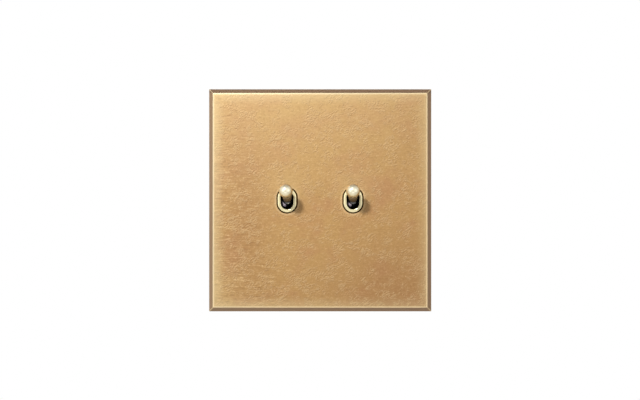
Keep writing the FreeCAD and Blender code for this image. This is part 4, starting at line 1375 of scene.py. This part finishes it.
@dataclass
class Studio:
    """White backdrop, pale floor, softboxes round the camera and the camera itself."""

    view_width: float = 247.8 * MM
    distance: float = 0.41
    photo_width: float = 640.0
    centre_off: Range = (0.2, 0.3)
    shoulder: float = -3.25 * MM
    aside: float = 12 * MM
    lamps: tuple[Softbox, ...] = (
        Softbox("key", (-0.216, -0.524, 0.338), (0.08, 0.08), 184.0),
        Softbox("panel_left", (-0.55, -0.51, 0.08), (0.35, 0.5), 0.8),
        Softbox("panel_right", (0.55, -0.51, 0.04), (0.3, 0.45), 1.1),
        Softbox("front_low", (0.0, -0.65, -0.36), (0.5, 0.25), 0.7),
        Softbox("rear_left", (-0.8, 1.0, 0.7), (0.7, 0.7), 3.0),
        Softbox("rear_right", (0.8, 1.0, 0.7), (0.7, 0.7), 2.0),
    )
    tent: float = 1.0
    lens_dark: float = 0.4
    room_left: float = 0.56
    room_right: float = 0.9
    ceiling_dark: float = 0.5
    ambient: float = 0.05
    front_ramp: Range = (-1.8, 0.1)
    lens_ramp: Range = (-22.0, -20.7)
    ceiling_ramp: Range = (2.9, -1.3)
    behind_ramp: Range = (4.0, -0.4)
    floor_drop: float = -0.62
    floor_half: float = 2.0
    floor_points: int = 21
    floor_fade: Ramp = (0.15, 0.9, 0.6, 1.0)
    floor_grain: Grain = Grain(120.0)
    grain_ramp: Range = (0.3, 0.7)
    floor_tones: tuple[Colour, Colour] = ((0.80, 0.80, 0.79), (0.83, 0.83, 0.82))
    pale_floor: float = 0.6

    def camera(self) -> None:
        """Stands the camera in front, a little to the right, with its lens shifted back to the plate's middle."""
        pixel = self.view_width / self.photo_width
        lens = bpy.data.cameras.new("camera")
        lens.sensor_width = 36.0
        lens.lens = lens.sensor_width * self.distance / self.view_width
        lens.clip_start = 0.01
        lens.shift_x = -self.aside / self.view_width
        stand = bpy.data.objects.new("camera", lens)
        across = self.aside - self.centre_off[0] * pixel
        stand.location = (across, self.shoulder - self.distance, self.centre_off[1] * pixel)
        stand.rotation_euler = (math.pi / 2, 0.0, 0.0)
        bpy.context.scene.collection.objects.link(stand)
        bpy.context.scene.camera = stand

    def world(self) -> None:
        """White to the camera; to metal, white behind, a tent round a dark lens, grey sides and a dim ceiling."""
        world = bpy.data.worlds.new("studio")
        bpy.context.scene.world = world
        world.use_nodes = True
        desk = Desk(world.node_tree)
        desk.tree.nodes.clear()
        ray = desk.node("ShaderNodeLightPath").outputs
        x, y, z = desk.split(desk.node("ShaderNodeTexCoord").outputs["Generated"])
        ramps = ((y, self.front_ramp), (y, self.lens_ramp), (z, self.ceiling_ramp), (y, self.behind_ramp))
        front, lens, over, behind = (desk.sum("MULTIPLY_ADD", axis, *ramp, hold=True) for axis, ramp in ramps)
        tent = desk.sum("MULTIPLY_ADD", lens, -self.lens_dark, self.tent)
        side = desk.sum("MAXIMUM", *(desk.sum("MULTIPLY", x, tone) for tone in (-self.room_left, self.room_right)))
        side = desk.between(front, side, tent)
        side = desk.sum("MULTIPLY", side, desk.sum("MULTIPLY_ADD", over, -self.ceiling_dark, 1.0))
        level = desk.between(ray["Is Glossy Ray"], self.ambient, desk.between(behind, side, 1.0))
        room = desk.node("ShaderNodeBackground", {"Color": WHITE, "Strength": level}).outputs[0]
        white = desk.node("ShaderNodeBackground", {"Color": WHITE}).outputs[0]
        direct = desk.sum("MAXIMUM", ray["Is Camera Ray"], ray["Is Transmission Ray"])
        choice = desk.node("ShaderNodeMixShader", {0: direct, 1: room, 2: white}).outputs[0]
        desk.node("ShaderNodeOutputWorld", {"Surface": choice})

    def floor(self) -> None:
        """Pale floor well below the plate, outside the camera's own view, that runs out into the white at its rim.

        The floor is a flat square grid. Seen by a camera its colour gives way to white with the distance from the
        middle, so that no edge shows from any side, and metal shows it pale.
        """
        line = np.linspace(-self.floor_half, self.floor_half, self.floor_points)
        u, v = np.meshgrid(line, line)
        ground = weld("floor", [Patch(np.stack([u, v, np.full_like(u, self.floor_drop)], axis=-1))])
        bench = Bench("pale_floor")
        colour = bench.blend(bench.remap(bench.noise(self.floor_grain), *self.grain_ramp), *self.floor_tones)
        away = bench.sum("SQRT", bench.square_sum(bench.x, bench.y))
        ray = bench.node("ShaderNodeLightPath").outputs
        white = bench.sum("MULTIPLY", bench.remap(away, *self.floor_fade), ray["Is Camera Ray"])
        glow = bench.sum("MULTIPLY_ADD", ray["Is Glossy Ray"], self.pale_floor, white)
        bench.set(Base_Color=bench.blend(white, colour, BLACK), Roughness=0.8, Specular_IOR_Level=0.0,
                  Emission_Color=WHITE, Emission_Strength=glow)
        ground.data.materials.append(bench.material)

    def build(self) -> None:
        """Sets the camera, backdrop, floor and lamps, and the plain view of colours."""
        bpy.context.scene.view_settings.view_transform = "Standard"
        self.camera()
        self.world()
        self.floor()
        for lamp in self.lamps:
            lamp.light()
        LOG.info("studio: %d lamps", len(self.lamps))


def screw_sets(rack: FinishRack) -> Iterable[ScrewSet]:
    """Gives the box screws, the case screws and terminal screws of each gang, and the earth screw.

    Args:
        rack: Rack of finishes.

    Returns:
        The sets.
    """
    box = Screw(3.3 * MM, 1.2 * MM, 1.75 * MM, 0.6 * MM, 1.5 * MM, 2.4 * MM, 0.6 * MM)
    case = Screw(2.2 * MM, 1.2 * MM, 1.2 * MM, 0.45 * MM)
    terminal = Screw(2.4 * MM, 1.5 * MM, 1.5 * MM, 0.5 * MM)
    yield ScrewSet(rack, "box_screws", box, Drive.INTO_WALL, ((-1, 0), (1, 0)))
    for gang in Gang:
        yield ScrewSet(rack, gang.node("module_screws"), case, Drive.INTO_WALL, ((0, -1), (0, 1)))
    for gang in Gang:
        yield ScrewSet(rack, gang.node("terminal_screws"), terminal, Drive.INTO_ROOM, ((-1, 1), (1, 1), (-1, -1)))
    yield ScrewSet(rack, "earth_screw", terminal, Drive.INTO_ROOM, ((0, 0),))


def main() -> None:
    """Builds the studio, then each sub-assembly in order, and dresses what keeps its own shape."""
    logging.basicConfig(level=logging.INFO, format="%(message)s")
    Studio().build()
    rack = FinishRack()
    FrontPlate(rack).build()
    for gang in Gang:
        for piece in (Collar, Dolly, PlungerSpring):
            piece(rack, gang).build()
    for screws in screw_sets(rack):
        screws.build()
    Works(rack).dress()


if __name__ == "__main__":
    main()
